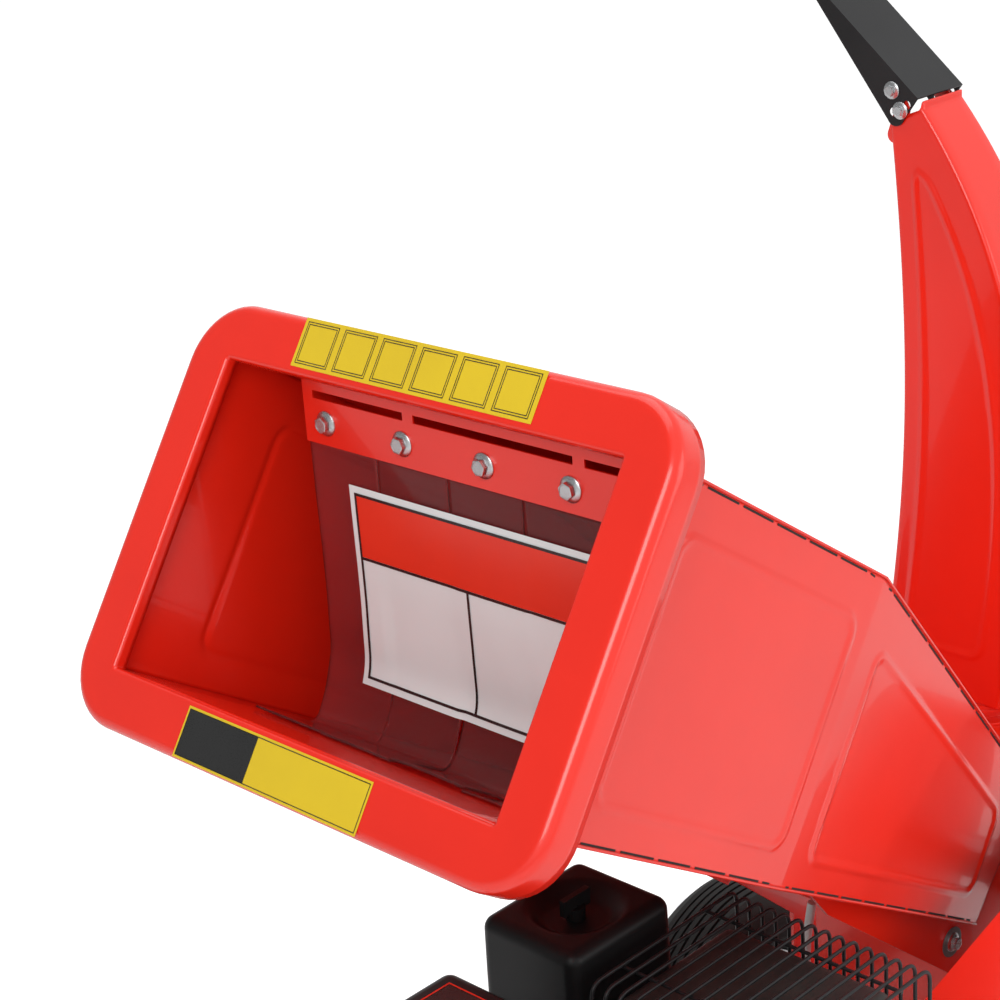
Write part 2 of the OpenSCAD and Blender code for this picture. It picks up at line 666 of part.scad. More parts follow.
hub_half = tyre_w / 2;
module wheel(s) color([0.8, 0.8, 0.8]) translate([axle_x, s * track / 2, axle_z]) rotate([90, 0, 0])
    difference() {
        rotate_extrude() polygon([
            [axle_d / 2 + play, -hub_half], [24, -hub_half], [24, -12], [60, -6], [68, -40],
            [rim_r0 + 10, -44], [rim_r0 + 10, -40], [rim_r0, -36], [rim_r0, 36],
            [rim_r0 + 10, 40], [rim_r0 + 10, 44], [68, 40], [60, 0], [24, -4], [24, hub_half],
            [axle_d / 2 + play, hub_half]
        ]);
        for (a = [0:60:300]) rotate(a) translate([42, 0, -60]) cylinder(h = 120, r = 7);
    }
module wheel_left() wheel(1);
module wheel_right() wheel(-1);
// Tyre: rounded carcass with grooves running round the tread
tyre_grooves = 6;
bead_half = 36 - gap;
module tyre(s) color(rubber) translate([axle_x, s * track / 2, axle_z]) rotate([90, 0, 0])
    difference() {
        rotate_extrude($fn = 96) intersection() {
            translate([tyre_r - 46, 0]) rounded(92, tyre_w, 34);
            translate([rim_r0, -tyre_w]) square([tyre_r, 2 * tyre_w]);
        }
        // the bead sits on the rim between its flanges, and the side walls stand on them
        rotate_extrude() translate([rim_r0 - 1, -bead_half]) square([1 + gap, 2 * bead_half]);
        for (m = [0, 1]) mirror([0, 0, m]) rotate_extrude()
            translate([rim_r0 - 1, bead_half]) square([11 + gap, tyre_w]);
        for (i = [1:tyre_grooves]) rotate_extrude($fn = 96)
            translate([tyre_r - 5, -28 + (i - 0.5) * 56 / tyre_grooves - 1.5]) square([10, 3]);
    }
module tyre_left() tyre(1);
module tyre_right() tyre(-1);
leg_x = rail_x0 + tube / 2;
foot_t = 8;
module support_leg() color(black) {
    box([leg_x - 18, -18, foot_t], [leg_x + 18, 18, rail_top - tube]);
    difference() {
        box([leg_x - 35, -130, 0], [leg_x + 35, 130, foot_t]);
        for (y = [-1, 1]) translate([leg_x, y * anchor_pitch / 2, -1])
            cylinder(h = foot_t + 2, d = anchor_d);
    }
}
tow_pivot = [rail_x0 - 15, 0, rail_top - tube / 2];
tow_len = 420;
tow_rest = 20;
module in_tow() translate(tow_pivot) rotate([0, 180 + tow_rest, 0]) children();
module tow_bar() color(black) in_tow() {
    rotate([90, 0, 0]) cylinder(h = 39.4, r = 13, center = true);
    rotate([0, 90, 0]) translate([0, 0, 10]) cylinder(h = tow_len, r = 12.5);
    rotate([90, 0, 0]) cylinder(h = 60, r = 6 - play, center = true);
    translate([tow_len, 0, 0]) rotate([90, 0, 0]) cylinder(h = 260, r = 11, center = true);
}
module tow_grip() color(rubber) in_tow() for (s = [-1, 1]) translate([tow_len, s * 80, 0])
    rotate([90, 0, 0]) difference() {
        cylinder(h = 104, r = grip_r, center = true);
        cylinder(h = 105, r = 11, center = true);
    }

// ---------- engine ----------
module at_crank() translate([engine_x, engine_y, crank_z]) children();
module on_cylinder() at_crank() rotate([0, -cyl_a, 0]) children();
block_y0 = engine_y - 105;
block_y1 = engine_y + 105;
head_n = 105;
module engine_block() color(black) difference() {
    union() {
        u = [cos(cyl_a), sin(cyl_a)];
        v = [-u[1], u[0]];
        c = [engine_x, crank_z] + head_n * u;
        along_y(block_y0 + 4, block_y1) polygon([
            [engine_x - 90, foot_z + foot_plate_t], [engine_x + 90, foot_z + foot_plate_t], [engine_x + 112, crank_z - 60],
            c - 60 * v, c + 74 * v, [engine_x + 10, crank_z + 126], [engine_x - 60, crank_z + 118],
            [engine_x - 100, crank_z + 46], [engine_x - 105, crank_z - 64]
        ]);
        difference() {
            box([engine_x - 116, block_y0 - 5, foot_z],
                [engine_x + 118, block_y1 + 5, foot_z + foot_plate_t + eps]);
            for (x = foot_x, y = foot_y) translate([engine_x + x, engine_y + y, foot_z - 1])
                cylinder(h = foot_plate_t + 2, r = bolt_r + play);
        }
        disc_y(engine_x, crank_z, block_y0 - 6, block_y0 + 5, 44);
        for (y = [-80, 60]) box([engine_x - 70, engine_y + y, crank_z + 110],
            [engine_x - 20, engine_y + y + 24, tank_z0]);
        box([engine_x - 112, engine_y - 30, crank_z - 60], [engine_x - 95, engine_y + 30, crank_z]);
    }
    disc_y(engine_x, crank_z, block_y0 - 10, engine_y, crank_d / 2 + play);
    translate([engine_x - 140, engine_y, crank_z - 30]) rotate([0, 90, 0])
        cylinder(h = 40, r = 4 + play);
}
module engine_switch() color([0.75, 0.1, 0.08])
    translate([engine_x - 112 - gap, engine_y, crank_z - 30]) rotate([0, -90, 0]) {
        cylinder(h = 12, r = 13);
        translate([-3, -16, 11]) cube([6, 32, 7]);
        translate([0, 0, -8]) cylinder(h = 9, r = 4);
    }
module cylinder_fins() color(alloy) on_cylinder() {
    translate([head_n, -55, -52]) cube([130, 110, 104]);
    difference() {
        for (i = [0:8]) translate([head_n + 8 + i * 13, -75, -68]) cube([3.2, 150, 136]);
        rotate([0, cyl_a, 0]) translate([-engine_x, -engine_y, -crank_z]) {
            disc_y(carb_x, port_z, engine_y + 55, engine_y + 80, inlet_r + gap);
            disc_y(exhaust_x, port_z, engine_y - 80, engine_y - 55, exhaust_r + gap);
        }
    }
    // spark plug on the head's lower side
    translate([head_n + 120, 0, -50]) rotate([0, 150, 0]) {
        cylinder(h = 46, r = 8);
        translate([0, 0, 30]) cylinder(h = 24, r = 11);
    }
}
module valve_cover() color(black) on_cylinder() translate([head_n + 130, 0, 0])
    rotate([90, 0, 90]) {
        linear_extrude(6) rounded(112, 104, 12);
        translate([0, 0, 6]) linear_extrude(20) rounded(96, 88, 18);
    }
module crankshaft() color(steel)
    disc_y(engine_x, crank_z, belt_y - pulley_w / 2 - 4, engine_y - 2, crank_d / 2);
blower_y1 = block_y1 + 70;
module blower_housing() color(black) difference() {
    union() {
        along_y(block_y1, blower_y1) {
            translate([engine_x, crank_z]) circle(120);
            translate([engine_x, crank_z]) rotate(cyl_a) translate([0, -68]) square([178, 136]);
        }
    }
    translate(throttle_at + [0, -20, 0]) rotate([-90, 0, 0]) cylinder(h = 40, r = 4 + play);
}
recoil_y1 = blower_y1 + 30;
rope_r = 2;
rope_z = crank_z + 56;
module recoil_cover() color(black) difference() {
    disc_y(engine_x, crank_z, blower_y1, recoil_y1, 95);
    for (a = [0:30:330]) at_crank() rotate([0, a, 0]) translate([30, 0, -5])
        translate([0, recoil_y1 - engine_y - 6, 0]) cube([26, 10, 10]);
    translate([engine_x - 200, blower_y1 + 15, rope_z]) rotate([0, 90, 0])
        cylinder(h = 400, r = rope_r + play);
}
grip_half = 38;
handle_x = engine_x - sqrt(pow(95, 2) - pow(rope_z - grip_half - crank_z, 2)) - 1;
module recoil_handle() color(black) translate([handle_x, blower_y1 + 15, rope_z])
    rotate([0, -90, 0]) {
        translate([0, 0, -150]) cylinder(h = 152, r = rope_r);
        translate([-grip_half, 0, 10]) rotate([0, 90, 0]) cylinder(h = 2 * grip_half, r = 9);
        cylinder(h = 10, r = 7);
    }
tank_r = 30;
tank_cap = [tank_x + tank_w / 2, tank_y1 - tank_l / 2];
module fuel_tank() color(black) {
    translate([tank_cap[0], tank_cap[1], (tank_z0 + tank_z1) / 2]) intersection() {
        linear_extrude(500, center = true) rounded(tank_w, tank_l, tank_r);
        rotate([90, 0, 0]) linear_extrude(500, center = true)
            rounded(tank_w, tank_z1 - tank_z0, tank_r);
        rotate([90, 0, 90]) linear_extrude(500, center = true)
            rounded(tank_l, tank_z1 - tank_z0, tank_r);
    }
    translate([tank_cap[0], tank_cap[1], tank_z1 - 8]) cylinder(h = 20, r = 24);
}
module fuel_cap() color(black) translate([tank_cap[0], tank_cap[1], tank_z1 + gap]) difference() {
    union() {
        cylinder(h = 22, r = 31);
        for (a = [0:30:330]) rotate(a) translate([30, 0, 0]) cylinder(h = 20, r = 3);
    }
    translate([0, 0, -1]) cylinder(h = 13 + gap, r = 24 + play);
}
module filter_slab(z0, z1, inset) translate([filter_x, filter_y, z0]) linear_extrude(z1 - z0)
    rounded(filter_l - 2 * inset, filter_w - 2 * inset, 20);
stud_r = 3;
module air_filter_base() color(black) {
    filter_slab(filter_z0 - 15, filter_z0, 3);
    translate([filter_x, filter_y, filter_z0 - 1]) cylinder(h = filter_z1 - filter_z0 + 2,
        r = stud_r);
}
module air_filter_cover() color(black) difference() {
    union() {
        filter_slab(filter_z0, filter_z1 - 12, 0);
        filter_slab(filter_z1 - 12 - eps, filter_z1 - 5, 2);
        filter_slab(filter_z1 - 5 - eps, filter_z1, 7);
    }
    filter_slab(filter_z0 - 1, filter_z1 - 20, 3);
    translate([filter_x, filter_y, filter_z1 - 12]) cylinder(h = 13, r1 = 22, r2 = 40);
    translate([filter_x, filter_y, filter_z0]) cylinder(h = 200, r = stud_r + 1);
}
module filter_knob() color(black) translate([filter_x, filter_y, filter_z1 - 12 + gap])
    difference() {
        union() {
            cylinder(h = 12, r = 9);
            translate([-17, -3, 8]) cube([34, 6, 16]);
        }
        translate([0, 0, -1]) cylinder(h = 16, r = stud_r + play);
    }
module carburettor() color(alloy) {
    box([carb_x - 22, -52, 500], [carb_x + 22, -9, 556]);
    translate([carb_x, -30, 555]) cylinder(h = filter_z0 - 15 - 555, r = 17);
    disc_y(carb_x, port_z, engine_y + 55, -51, inlet_r);
}
throttle_at = [-367, blower_y1, 480];
module throttle_lever() color(steel) translate(throttle_at + [0, gap, 0]) rotate([-90, 0, 0]) {
    cylinder(h = 3, r = 10);
    translate([0, 0, -12]) cylinder(h = 13, r = 4);
    rotate(180) translate([-5, 0, 0]) cube([10, 58, 3]);
    translate([0, -58, 0]) cylinder(h = 10, r = 8);
}
module muffler() color([0.25, 0.25, 0.26]) {
    translate([muffler_x[0], muffler_y[0], muffler_z[0]]) cube([muffler_x[1] - muffler_x[0],
        muffler_y[1] - muffler_y[0], muffler_z[1] - muffler_z[0]]);
    disc_y(exhaust_x, port_z, -232, engine_y - 55, exhaust_r);
    rod([exhaust_x, -215, port_z + 4], [exhaust_x, -235, muffler_z[0] + 5], exhaust_r - 2);
    rod([muffler_x[1] - 30, -250, muffler_z[0] + 30], [muffler_x[1] + 22, -250,
        muffler_z[0] + 30], 11);
}
// Guard: a cage of parallel wires over the muffler
wire_r = 1.6;
guard_wires = 15;
cage_x = [-338, -140];
cage_y = [-304, -96];
cage_z = [582, 682];
module muffler_guard() color([0.1, 0.1, 0.1]) {
    $fn = 8;
    for (i = [0:guard_wires - 1]) {
        y = cage_y[0] + i * (cage_y[1] - cage_y[0]) / (guard_wires - 1);
        rod([cage_x[0] - wire_r, y, cage_z[1]], [cage_x[1] + wire_r, y, cage_z[1]], wire_r);
        for (x = cage_x) rod([x, y, cage_z[0] - wire_r], [x, y, cage_z[1]], wire_r);
    }
    for (p = [[cage_x[0], cage_z[0]], [cage_x[1], cage_z[0]], [cage_x[0], 632], [cage_x[1], 632],
        [cage_x[0] + 40, cage_z[1] - wire_r], [cage_x[1] - 40, cage_z[1] - wire_r]])
        rod([p[0], cage_y[0] - wire_r, p[1]], [p[0], cage_y[1] + wire_r, p[1]], wire_r);
    for (y = [-270, -200, -130]) {
        rod([cage_x[0], y, 632], [muffler_x[0], y, 632], wire_r);
        rod([muffler_x[1], y, 632], [cage_x[1], y, 632], wire_r);
    }
}
hose_at = [216, side_in - 52];
hose_r = 5;
hose_top = drum_z - sqrt(pow(shell_r + shell_t, 2) - pow(drum_x - hose_at[0] - hose_r, 2)) - gap;
module vent_hose() color([0.78, 0.79, 0.78]) translate([hose_at[0], hose_at[1], rail_top + 4])
    cylinder(h = hose_top - rail_top - 4, r = hose_r);

// The origin lies on the ground under the middle of the machine's length
grip_r = 16;
middle_x = (tow_pivot[0] - tow_len * cos(tow_rest) - grip_r + axle_x + tyre_r) / 2;
module in_frame() translate([-middle_x, 0, 0]) children();

in_frame() hopper_rim();
in_frame() hopper_left_panel();
in_frame() hopper_right_panel();
in_frame() hopper_top_panel();
in_frame() hopper_floor_panel();
in_frame() hopper_gussets();
in_frame() gusset_bolts();
in_frame() curtain_strap();
in_frame() curtain_bolts();
in_frame() safety_curtain();
in_frame() housing_left_plate();
in_frame() housing_right_plate();
in_frame() housing_shell();
in_frame() stand_wall();
in_frame() anvil();
in_frame() drum_shaft();
in_frame() drum();
in_frame() drum_blades();
in_frame() drum_bearings();
in_frame() drum_pulley();
in_frame() engine_pulley();
in_frame() drive_belts();
in_frame() belt_guard();
in_frame() guard_posts();
in_frame() small_bolts();
in_frame() chute_collar();
in_frame() chute_base();
in_frame() chute_left_plate();
in_frame() chute_right_plate();
in_frame() chute_curved_plates();
in_frame() deflector();
in_frame() deflector_bolts();
in_frame() chassis_frame();
in_frame() engine_plate();
in_frame() axle();
in_frame() wheel_left();
in_frame() wheel_right();
in_frame() tyre_left();
in_frame() tyre_right();
in_frame() support_leg();
in_frame() tow_bar();
in_frame() tow_grip();
in_frame() engine_block();
in_frame() cylinder_fins();
in_frame() valve_cover();
in_frame() crankshaft();
in_frame() blower_housing();
in_frame() recoil_cover();
in_frame() recoil_handle();
in_frame() fuel_tank();
in_frame() fuel_cap();
in_frame() air_filter_base();
in_frame() air_filter_cover();
in_frame() filter_knob();
in_frame() carburettor();
in_frame() throttle_lever();
in_frame() muffler();
in_frame() muffler_guard();
in_frame() engine_switch();
in_frame() vent_hose();
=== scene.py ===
# %% [markdown]
# # A wood chipper, dressed around its working model
# The working model gives every node its place and its motion. This lesson gives the nodes that
# show their real skins: pressed sheet, folded lips, round wire, moulded plastic and zinc bolts.
# All lengths are metres, +Z is up, and the feed mouth looks towards -X.

# %% load the frame
import json

import bpy
import bmesh
import numpy as np
from mathutils import Vector, Matrix

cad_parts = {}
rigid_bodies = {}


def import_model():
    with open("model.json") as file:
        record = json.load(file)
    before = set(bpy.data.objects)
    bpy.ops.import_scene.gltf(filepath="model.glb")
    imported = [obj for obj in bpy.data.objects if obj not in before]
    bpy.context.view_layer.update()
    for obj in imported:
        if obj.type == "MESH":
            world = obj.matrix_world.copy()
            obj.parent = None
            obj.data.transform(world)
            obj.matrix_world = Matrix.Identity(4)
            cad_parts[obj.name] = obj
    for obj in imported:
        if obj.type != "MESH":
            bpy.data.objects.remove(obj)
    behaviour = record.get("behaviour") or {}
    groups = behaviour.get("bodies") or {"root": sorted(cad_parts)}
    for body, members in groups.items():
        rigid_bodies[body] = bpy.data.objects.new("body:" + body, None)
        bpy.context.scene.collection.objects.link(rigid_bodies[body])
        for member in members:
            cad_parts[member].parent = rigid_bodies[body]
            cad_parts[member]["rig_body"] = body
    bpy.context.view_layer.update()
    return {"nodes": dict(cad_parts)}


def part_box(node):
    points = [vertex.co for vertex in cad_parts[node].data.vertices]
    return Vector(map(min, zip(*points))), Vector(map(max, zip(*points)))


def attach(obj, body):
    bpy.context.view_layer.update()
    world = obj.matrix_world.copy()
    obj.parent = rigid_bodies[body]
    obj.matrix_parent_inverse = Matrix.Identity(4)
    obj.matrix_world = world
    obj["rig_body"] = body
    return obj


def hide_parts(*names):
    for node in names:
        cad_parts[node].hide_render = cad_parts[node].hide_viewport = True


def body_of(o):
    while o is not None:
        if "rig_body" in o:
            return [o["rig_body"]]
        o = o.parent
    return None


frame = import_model()
nodes = frame["nodes"]

# %% [markdown]
# The camera stands in front of the mouth, a little above it, and is rolled four degrees. Its three
# axes are given directly, because a look-at target could not hold the roll.

# %% camera
CAM_AT = Vector((-1.2272, -1.2252, 1.7448))
CAM_RIGHT = Vector((0.6924, -0.7185, -0.0657)).normalized()
CAM_UP = Vector((0.2979, 0.2018, 0.9330)).normalized()
camera = bpy.data.objects.new("camera", bpy.data.cameras.new("camera"))
camera.data.lens, camera.data.sensor_width = 80.8, 36.0
camera.data.clip_start, camera.data.clip_end = 0.05, 60
turn = Matrix((CAM_RIGHT, CAM_UP, CAM_RIGHT.cross(CAM_UP))).transposed().to_4x4()
camera.matrix_world = Matrix.Translation(CAM_AT) @ turn
bpy.context.scene.collection.objects.link(camera)
bpy.context.scene.camera = camera
print("camera lens", camera.data.lens, "mm")

# %% [markdown]
# A white room: a pale floor, a white world and three wide soft lamps. Glossy paint shows what it
# mirrors, so the part of the room that the mouth's ring mirrors is kept darker.

# %% studio
def set_range(node, *values):
    """Fills a Map Range node: the two ends of its input, then the two ends of its output."""
    for label, v in zip(("From Min", "From Max", "To Min", "To Max"), values):
        node.inputs[label].default_value = v


DARK_SIDE, SKY_LIGHT, SKY_DARK = (-0.587, 0.660, 0.464), 0.86, 0.30
scene = bpy.context.scene
scene.view_settings.view_transform = "Standard"
scene.view_settings.look = "None"
world = bpy.data.worlds.new("studio")
world.use_nodes = True
sky = world.node_tree
sky_at = sky.nodes.new("ShaderNodeTexCoord")
sky_dot = sky.nodes.new("ShaderNodeVectorMath")
sky_dot.operation = "DOT_PRODUCT"
sky_dot.inputs[1].default_value = DARK_SIDE
sky_map = sky.nodes.new("ShaderNodeMapRange")
sky_map.interpolation_type = "SMOOTHSTEP"
set_range(sky_map, 0.35, 0.85, SKY_LIGHT, SKY_DARK)
sky.links.new(sky_at.outputs["Generated"], sky_dot.inputs[0])
sky.links.new(sky_dot.outputs["Value"], sky_map.inputs["Value"])
sky.links.new(sky_map.outputs[0], sky.nodes["Background"].inputs[1])
sky.nodes["Background"].inputs[0].default_value = (1.0, 1.0, 1.0, 1)
scene.world = world


def lamp(name, at, target, size, watts):
    """A square area light at a point, turned to look at another point."""
    data = bpy.data.lights.new(name, "AREA")
    data.shape, data.size, data.energy = "SQUARE", size, watts
    ob = bpy.data.objects.new(name, data)
    ob.location = at
    ob.rotation_euler = (Vector(target) - Vector(at)).to_track_quat("-Z", "Y").to_euler()
    scene.collection.objects.link(ob)


lamp("key", (-2.6, -1.3, 3.0), (-0.3, 0, 0.9), 1.6, 42)
lamp("fill", (1.4, -3.2, 1.6), (0.0, 0, 0.8), 2.2, 22)
lamp("top", (0.2, 0.6, 3.8), (-0.1, 0, 0.8), 2.4, 26)


# %% [markdown]
# Materials share small node groups. Each group reads the surface's own coordinates and gives out
# only a colour, a roughness and a height, while the shader stays in the material.

# %% shader groups
def new_group(name, inputs):
    """A node group with float or colour inputs, and Color, Roughness and Height outputs."""
    g = bpy.data.node_groups.new(name, "ShaderNodeTree")
    for label, kind, value in inputs:
        s = g.interface.new_socket(label, in_out="INPUT", socket_type="NodeSocket" + kind)
        s.default_value = value
    for label, kind in (("Color", "Color"), ("Roughness", "Float"), ("Height", "Float")):
        g.interface.new_socket(label, in_out="OUTPUT", socket_type="NodeSocket" + kind)
    return g, g.nodes.new("NodeGroupInput"), g.nodes.new("NodeGroupOutput")


def wire(tree, a, a_out, b, b_in):
    """Links one node's output to another node's input, both by name or number."""
    tree.links.new(a.outputs[a_out], b.inputs[b_in])


def noise(tree, coords, scale, detail, stretch=None):
    """Noise on object coordinates, squeezed along the axes by stretch."""
    n = tree.nodes.new("ShaderNodeTexNoise")
    n.inputs["Scale"].default_value = scale
    n.inputs["Detail"].default_value = detail
    n.inputs["Roughness"].default_value = 0.55
    if stretch:
        m = tree.nodes.new("ShaderNodeMapping")
        m.inputs["Scale"].default_value = stretch
        wire(tree, coords, "Object", m, "Vector")
        wire(tree, m, "Vector", n, "Vector")
    else:
        wire(tree, coords, "Object", n, "Vector")
    return n


def ramp(tree, source, lo, hi, out_lo, out_hi):
    """Maps a noise value from one range to another, without passing the ends."""
    r = tree.nodes.new("ShaderNodeMapRange")
    set_range(r, lo, hi, out_lo, out_hi)
    tree.links.new(source, r.inputs["Value"])
    return r


def finish_group(name, fine, broad, stretch=None):
    """Mottle: a broad noise shifts tint and gloss, a fine one makes the height."""
    g, gi, go = new_group(name, [("Base", "Color", (0.8, 0.8, 0.8, 1)),
                                 ("Tint", "Color", (0.7, 0.7, 0.7, 1)),
                                 ("Gloss", "Float", 0.3), ("Spread", "Float", 0.1)])
    co = g.nodes.new("ShaderNodeTexCoord")
    wide = noise(g, co, broad, 4.0)
    small = noise(g, co, fine, 2.0, stretch)
    mix = g.nodes.new("ShaderNodeMix")
    mix.data_type = "RGBA"
    share = ramp(g, wide.outputs["Fac"], 0.35, 0.7, 0.0, 1.0)
    wire(g, share, 0, mix, "Factor")
    wire(g, gi, "Base", mix, 6)
    wire(g, gi, "Tint", mix, 7)
    wire(g, mix, 2, go, "Color")
    span = g.nodes.new("ShaderNodeMath")
    span.operation = "MULTIPLY_ADD"
    both = g.nodes.new("ShaderNodeMath")
    both.operation = "MULTIPLY"
    wire(g, wide, "Fac", both, 0)
    wire(g, small, "Fac", both, 1)
    wire(g, both, 0, span, 0)
    wire(g, gi, "Spread", span, 1)
    wire(g, gi, "Gloss", span, 2)
    wire(g, span, 0, go, "Roughness")
    wire(g, small, "Fac", go, "Height")
    return g


GROUPS = {
    "orange_peel": finish_group("orange_peel", 260, 6),
    "fine_texture": finish_group("fine_texture", 1500, 9),
    "brushed": finish_group("brushed", 420, 30, (1, 1, 14)),
    "cast_skin": finish_group("cast_skin", 520, 18),
    "rubber_skin": finish_group("rubber_skin", 700, 12),
}
print("groups:", sorted(GROUPS))


# %% finishes
BUMP_HIGH = 0.0004


def finish(name, group, base, tint, gloss, spread, bump, **constants):
    """A Principled material whose colour, roughness and normal come from a group."""
    m = bpy.data.materials.new(name)
    m.use_nodes = True
    t = m.node_tree
    p = t.nodes["Principled BSDF"]
    g = t.nodes.new("ShaderNodeGroup")
    g.node_tree = GROUPS[group]
    for label, v in zip(("Base", "Tint", "Gloss", "Spread"),
                        ((*base, 1), (*tint, 1), gloss, spread)):
        g.inputs[label].default_value = v
    b = t.nodes.new("ShaderNodeBump")
    b.inputs["Strength"].default_value = bump
    b.inputs["Distance"].default_value = BUMP_HIGH
    wire(t, g, "Color", p, "Base Color")
    wire(t, g, "Roughness", p, "Roughness")
    wire(t, g, "Height", b, "Height")
    wire(t, b, "Normal", p, "Normal")
    for label, v in constants.items():
        p.inputs[label.replace("_", " ")].default_value = v
    return m


M = {
    "red": finish("red_powder_coat", "orange_peel", (0.88, 0.021, 0.007), (0.82, 0.018, 0.006),
                  0.22, 0.10, 0.05, Coat_Weight=0.35, Coat_Roughness=0.03, Coat_IOR=1.5),
    "black": finish("black_powder_coat", "fine_texture", (0.012, 0.012, 0.013),
                    (0.018, 0.018, 0.019), 0.34, 0.16, 0.2, Specular_IOR_Level=0.30),
    "plastic": finish("black_plastic", "fine_texture", (0.006, 0.006, 0.0065),
                      (0.010, 0.010, 0.0105), 0.36, 0.20, 0.2, Specular_IOR_Level=0.22),
    "zinc": finish("zinc_plate", "brushed", (0.66, 0.67, 0.68), (0.50, 0.51, 0.52),
                   0.20, 0.26, 0.18, Metallic=1.0),
    "steel": finish("ground_steel", "brushed", (0.50, 0.51, 0.53), (0.40, 0.41, 0.42),
                    0.26, 0.22, 0.25, Metallic=1.0),
    "cast": finish("painted_casting", "cast_skin", (0.055, 0.065, 0.064), (0.08, 0.09, 0.088),
                   0.50, 0.2, 0.8),
    "alloy": finish("cast_alloy", "cast_skin", (0.55, 0.56, 0.57), (0.42, 0.43, 0.44),
                    0.36, 0.25, 0.6, Metallic=0.9),
    "silver": finish("silver_enamel", "orange_peel", (0.62, 0.63, 0.64), (0.56, 0.57, 0.58),
                     0.26, 0.14, 0.12, Metallic=0.6, Coat_Weight=0.4),
    "tyre": finish("tyre_rubber", "rubber_skin", (0.012, 0.012, 0.012), (0.020, 0.020, 0.019),
                   0.60, 0.2, 0.6, Specular_IOR_Level=0.3),
    "rubber": finish("soft_rubber", "rubber_skin", (0.018, 0.018, 0.018), (0.028, 0.028, 0.028),
                     0.50, 0.2, 0.4),
    "hose": finish("grey_hose", "rubber_skin", (0.58, 0.60, 0.59), (0.50, 0.52, 0.51),
                   0.38, 0.2, 0.2),
    "switch": finish("red_plastic", "fine_texture", (0.62, 0.03, 0.02), (0.52, 0.025, 0.02),
                     0.24, 0.12, 0.15),
    "muffler": finish("heat_paint", "cast_skin", (0.045, 0.044, 0.043), (0.07, 0.064, 0.058),
                      0.46, 0.24, 0.5, Metallic=0.4),
    # painted shade: this near-black colour stands for the shade inside the tab slots
    "gap": finish("shadow_gap", "rubber_skin", (0.012, 0.004, 0.003), (0.02, 0.006, 0.004),
                  0.7, 0.1, 0.1),
    "yellow": finish("plain_yellow_film", "fine_texture", (0.78, 0.55, 0.02),
                     (0.72, 0.50, 0.02), 0.22, 0.1, 0.04),
    "white": finish("plain_white_film", "fine_texture", (0.80, 0.90, 0.90), (0.76, 0.85, 0.85),
                    0.22, 0.1, 0.04),
    "ink": finish("plain_black_film", "fine_texture", (0.016, 0.016, 0.016),
                  (0.022, 0.022, 0.022), 0.25, 0.1, 0.04),
    "header": finish("plain_red_film", "fine_texture", (0.84, 0.045, 0.02),
                     (0.78, 0.04, 0.02), 0.22, 0.1, 0.04),
    "grey": finish("plain_grey_film", "fine_texture", (0.10, 0.10, 0.10), (0.13, 0.13, 0.13),
                   0.3, 0.1, 0.04),
    "curtain": finish("clear_tinted_sheet", "orange_peel", (0.70, 0.22, 0.22),
                      (0.62, 0.18, 0.18), 0.03, 0.05, 0.05, Transmission_Weight=0.90, IOR=1.22),
}
print("finishes:", len(M))


# %% [markdown]
# Surfaces are grids: a function fills an array of points with two parameters, and the helper
# below joins neighbours into quads. Profiles, tubes and turned parts are all such grids.

# %% mesh helpers
def corners(node):
    """The two opposite corners of a CAD node's box."""
    lo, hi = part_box(node)
    return np.array(lo), np.array(hi)


def quads(nu, nv, loop_u=False, loop_v=False):
    """Corner numbers of every cell of a grid, which may close on itself either way."""
    a, b = np.meshgrid(np.arange(nu if loop_u else nu - 1), np.arange(nv if loop_v else nv - 1),
                       indexing="ij")
    c, d = (a + 1) % nu, (b + 1) % nv
    return np.stack([a * nv + b, c * nv + b, c * nv + d, a * nv + d], -1).reshape(-1, 4)


def grid(p, loop_u=False, loop_v=False, caps=False):
    """Points of shape (nu, nv, 3) as a part: (points, faces). Caps close the first and last row."""
    nu, nv = p.shape[:2]
    faces = quads(nu, nv, loop_u, loop_v).tolist()
    if caps:
        faces += [list(range(nv)), list(range((nu - 1) * nv, nu * nv))]
    return p.reshape(-1, 3), faces


def piece(name, parts, material, body, hides=(), thickness=0.0, angle=40):
    """One object from several parts: doubles merged, faces turned outwards, riding on a body."""
    points, faces, base = [], [], 0
    for p, f in parts:
        points.append(np.asarray(p, float))
        faces += [[i + base for i in q] for q in f]
        base += len(p)
    mesh = bpy.data.meshes.new(name)
    mesh.from_pydata(np.concatenate(points), [], faces)
    bm = bmesh.new()
    bm.from_mesh(mesh)
    bmesh.ops.remove_doubles(bm, verts=bm.verts, dist=2e-6)
    bmesh.ops.recalc_face_normals(bm, faces=bm.faces)
    bm.to_mesh(mesh)
    bm.free()
    ob = bpy.data.objects.new(name, mesh)
    scene.collection.objects.link(ob)
    return dress(ob, material, body, hides, thickness, angle)


def dress(ob, material, body, hides=(), thickness=0.0, angle=40):
    """Material, smooth shading up to an angle, wall thickness and what the piece stands for."""
    ob.data.materials.clear()
    ob.data.materials.append(M[material])
    ob.data.polygons.foreach_set("use_smooth", np.ones(len(ob.data.polygons), bool))
    ob.data.set_sharp_from_angle(angle=np.radians(angle))
    if thickness:
        s = ob.modifiers.new("wall", "SOLIDIFY")
        s.thickness, s.offset, s.use_even_offset = thickness, 0, True
    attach(ob, body)
    if hides:
        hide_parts(*([hides] if isinstance(hides, str) else hides))
    return ob


def placed(p, at, x, y, z):
    """Points given in a part's own axes, put at a place with its three axes in the frame."""
    axes = np.array([x, y, z], float)
    return np.asarray(p, float) @ axes + np.asarray(at, float)


def axes_for(z):
    """Two sideways directions that go with an axis."""
    z = np.asarray(z, float) / np.linalg.norm(z)
    x = np.cross(z, (0, 0, 1)) if abs(z[2]) < 0.9 else np.cross(z, (0, 1, 0))
    x /= np.linalg.norm(x)
    return x, np.cross(z, x), z


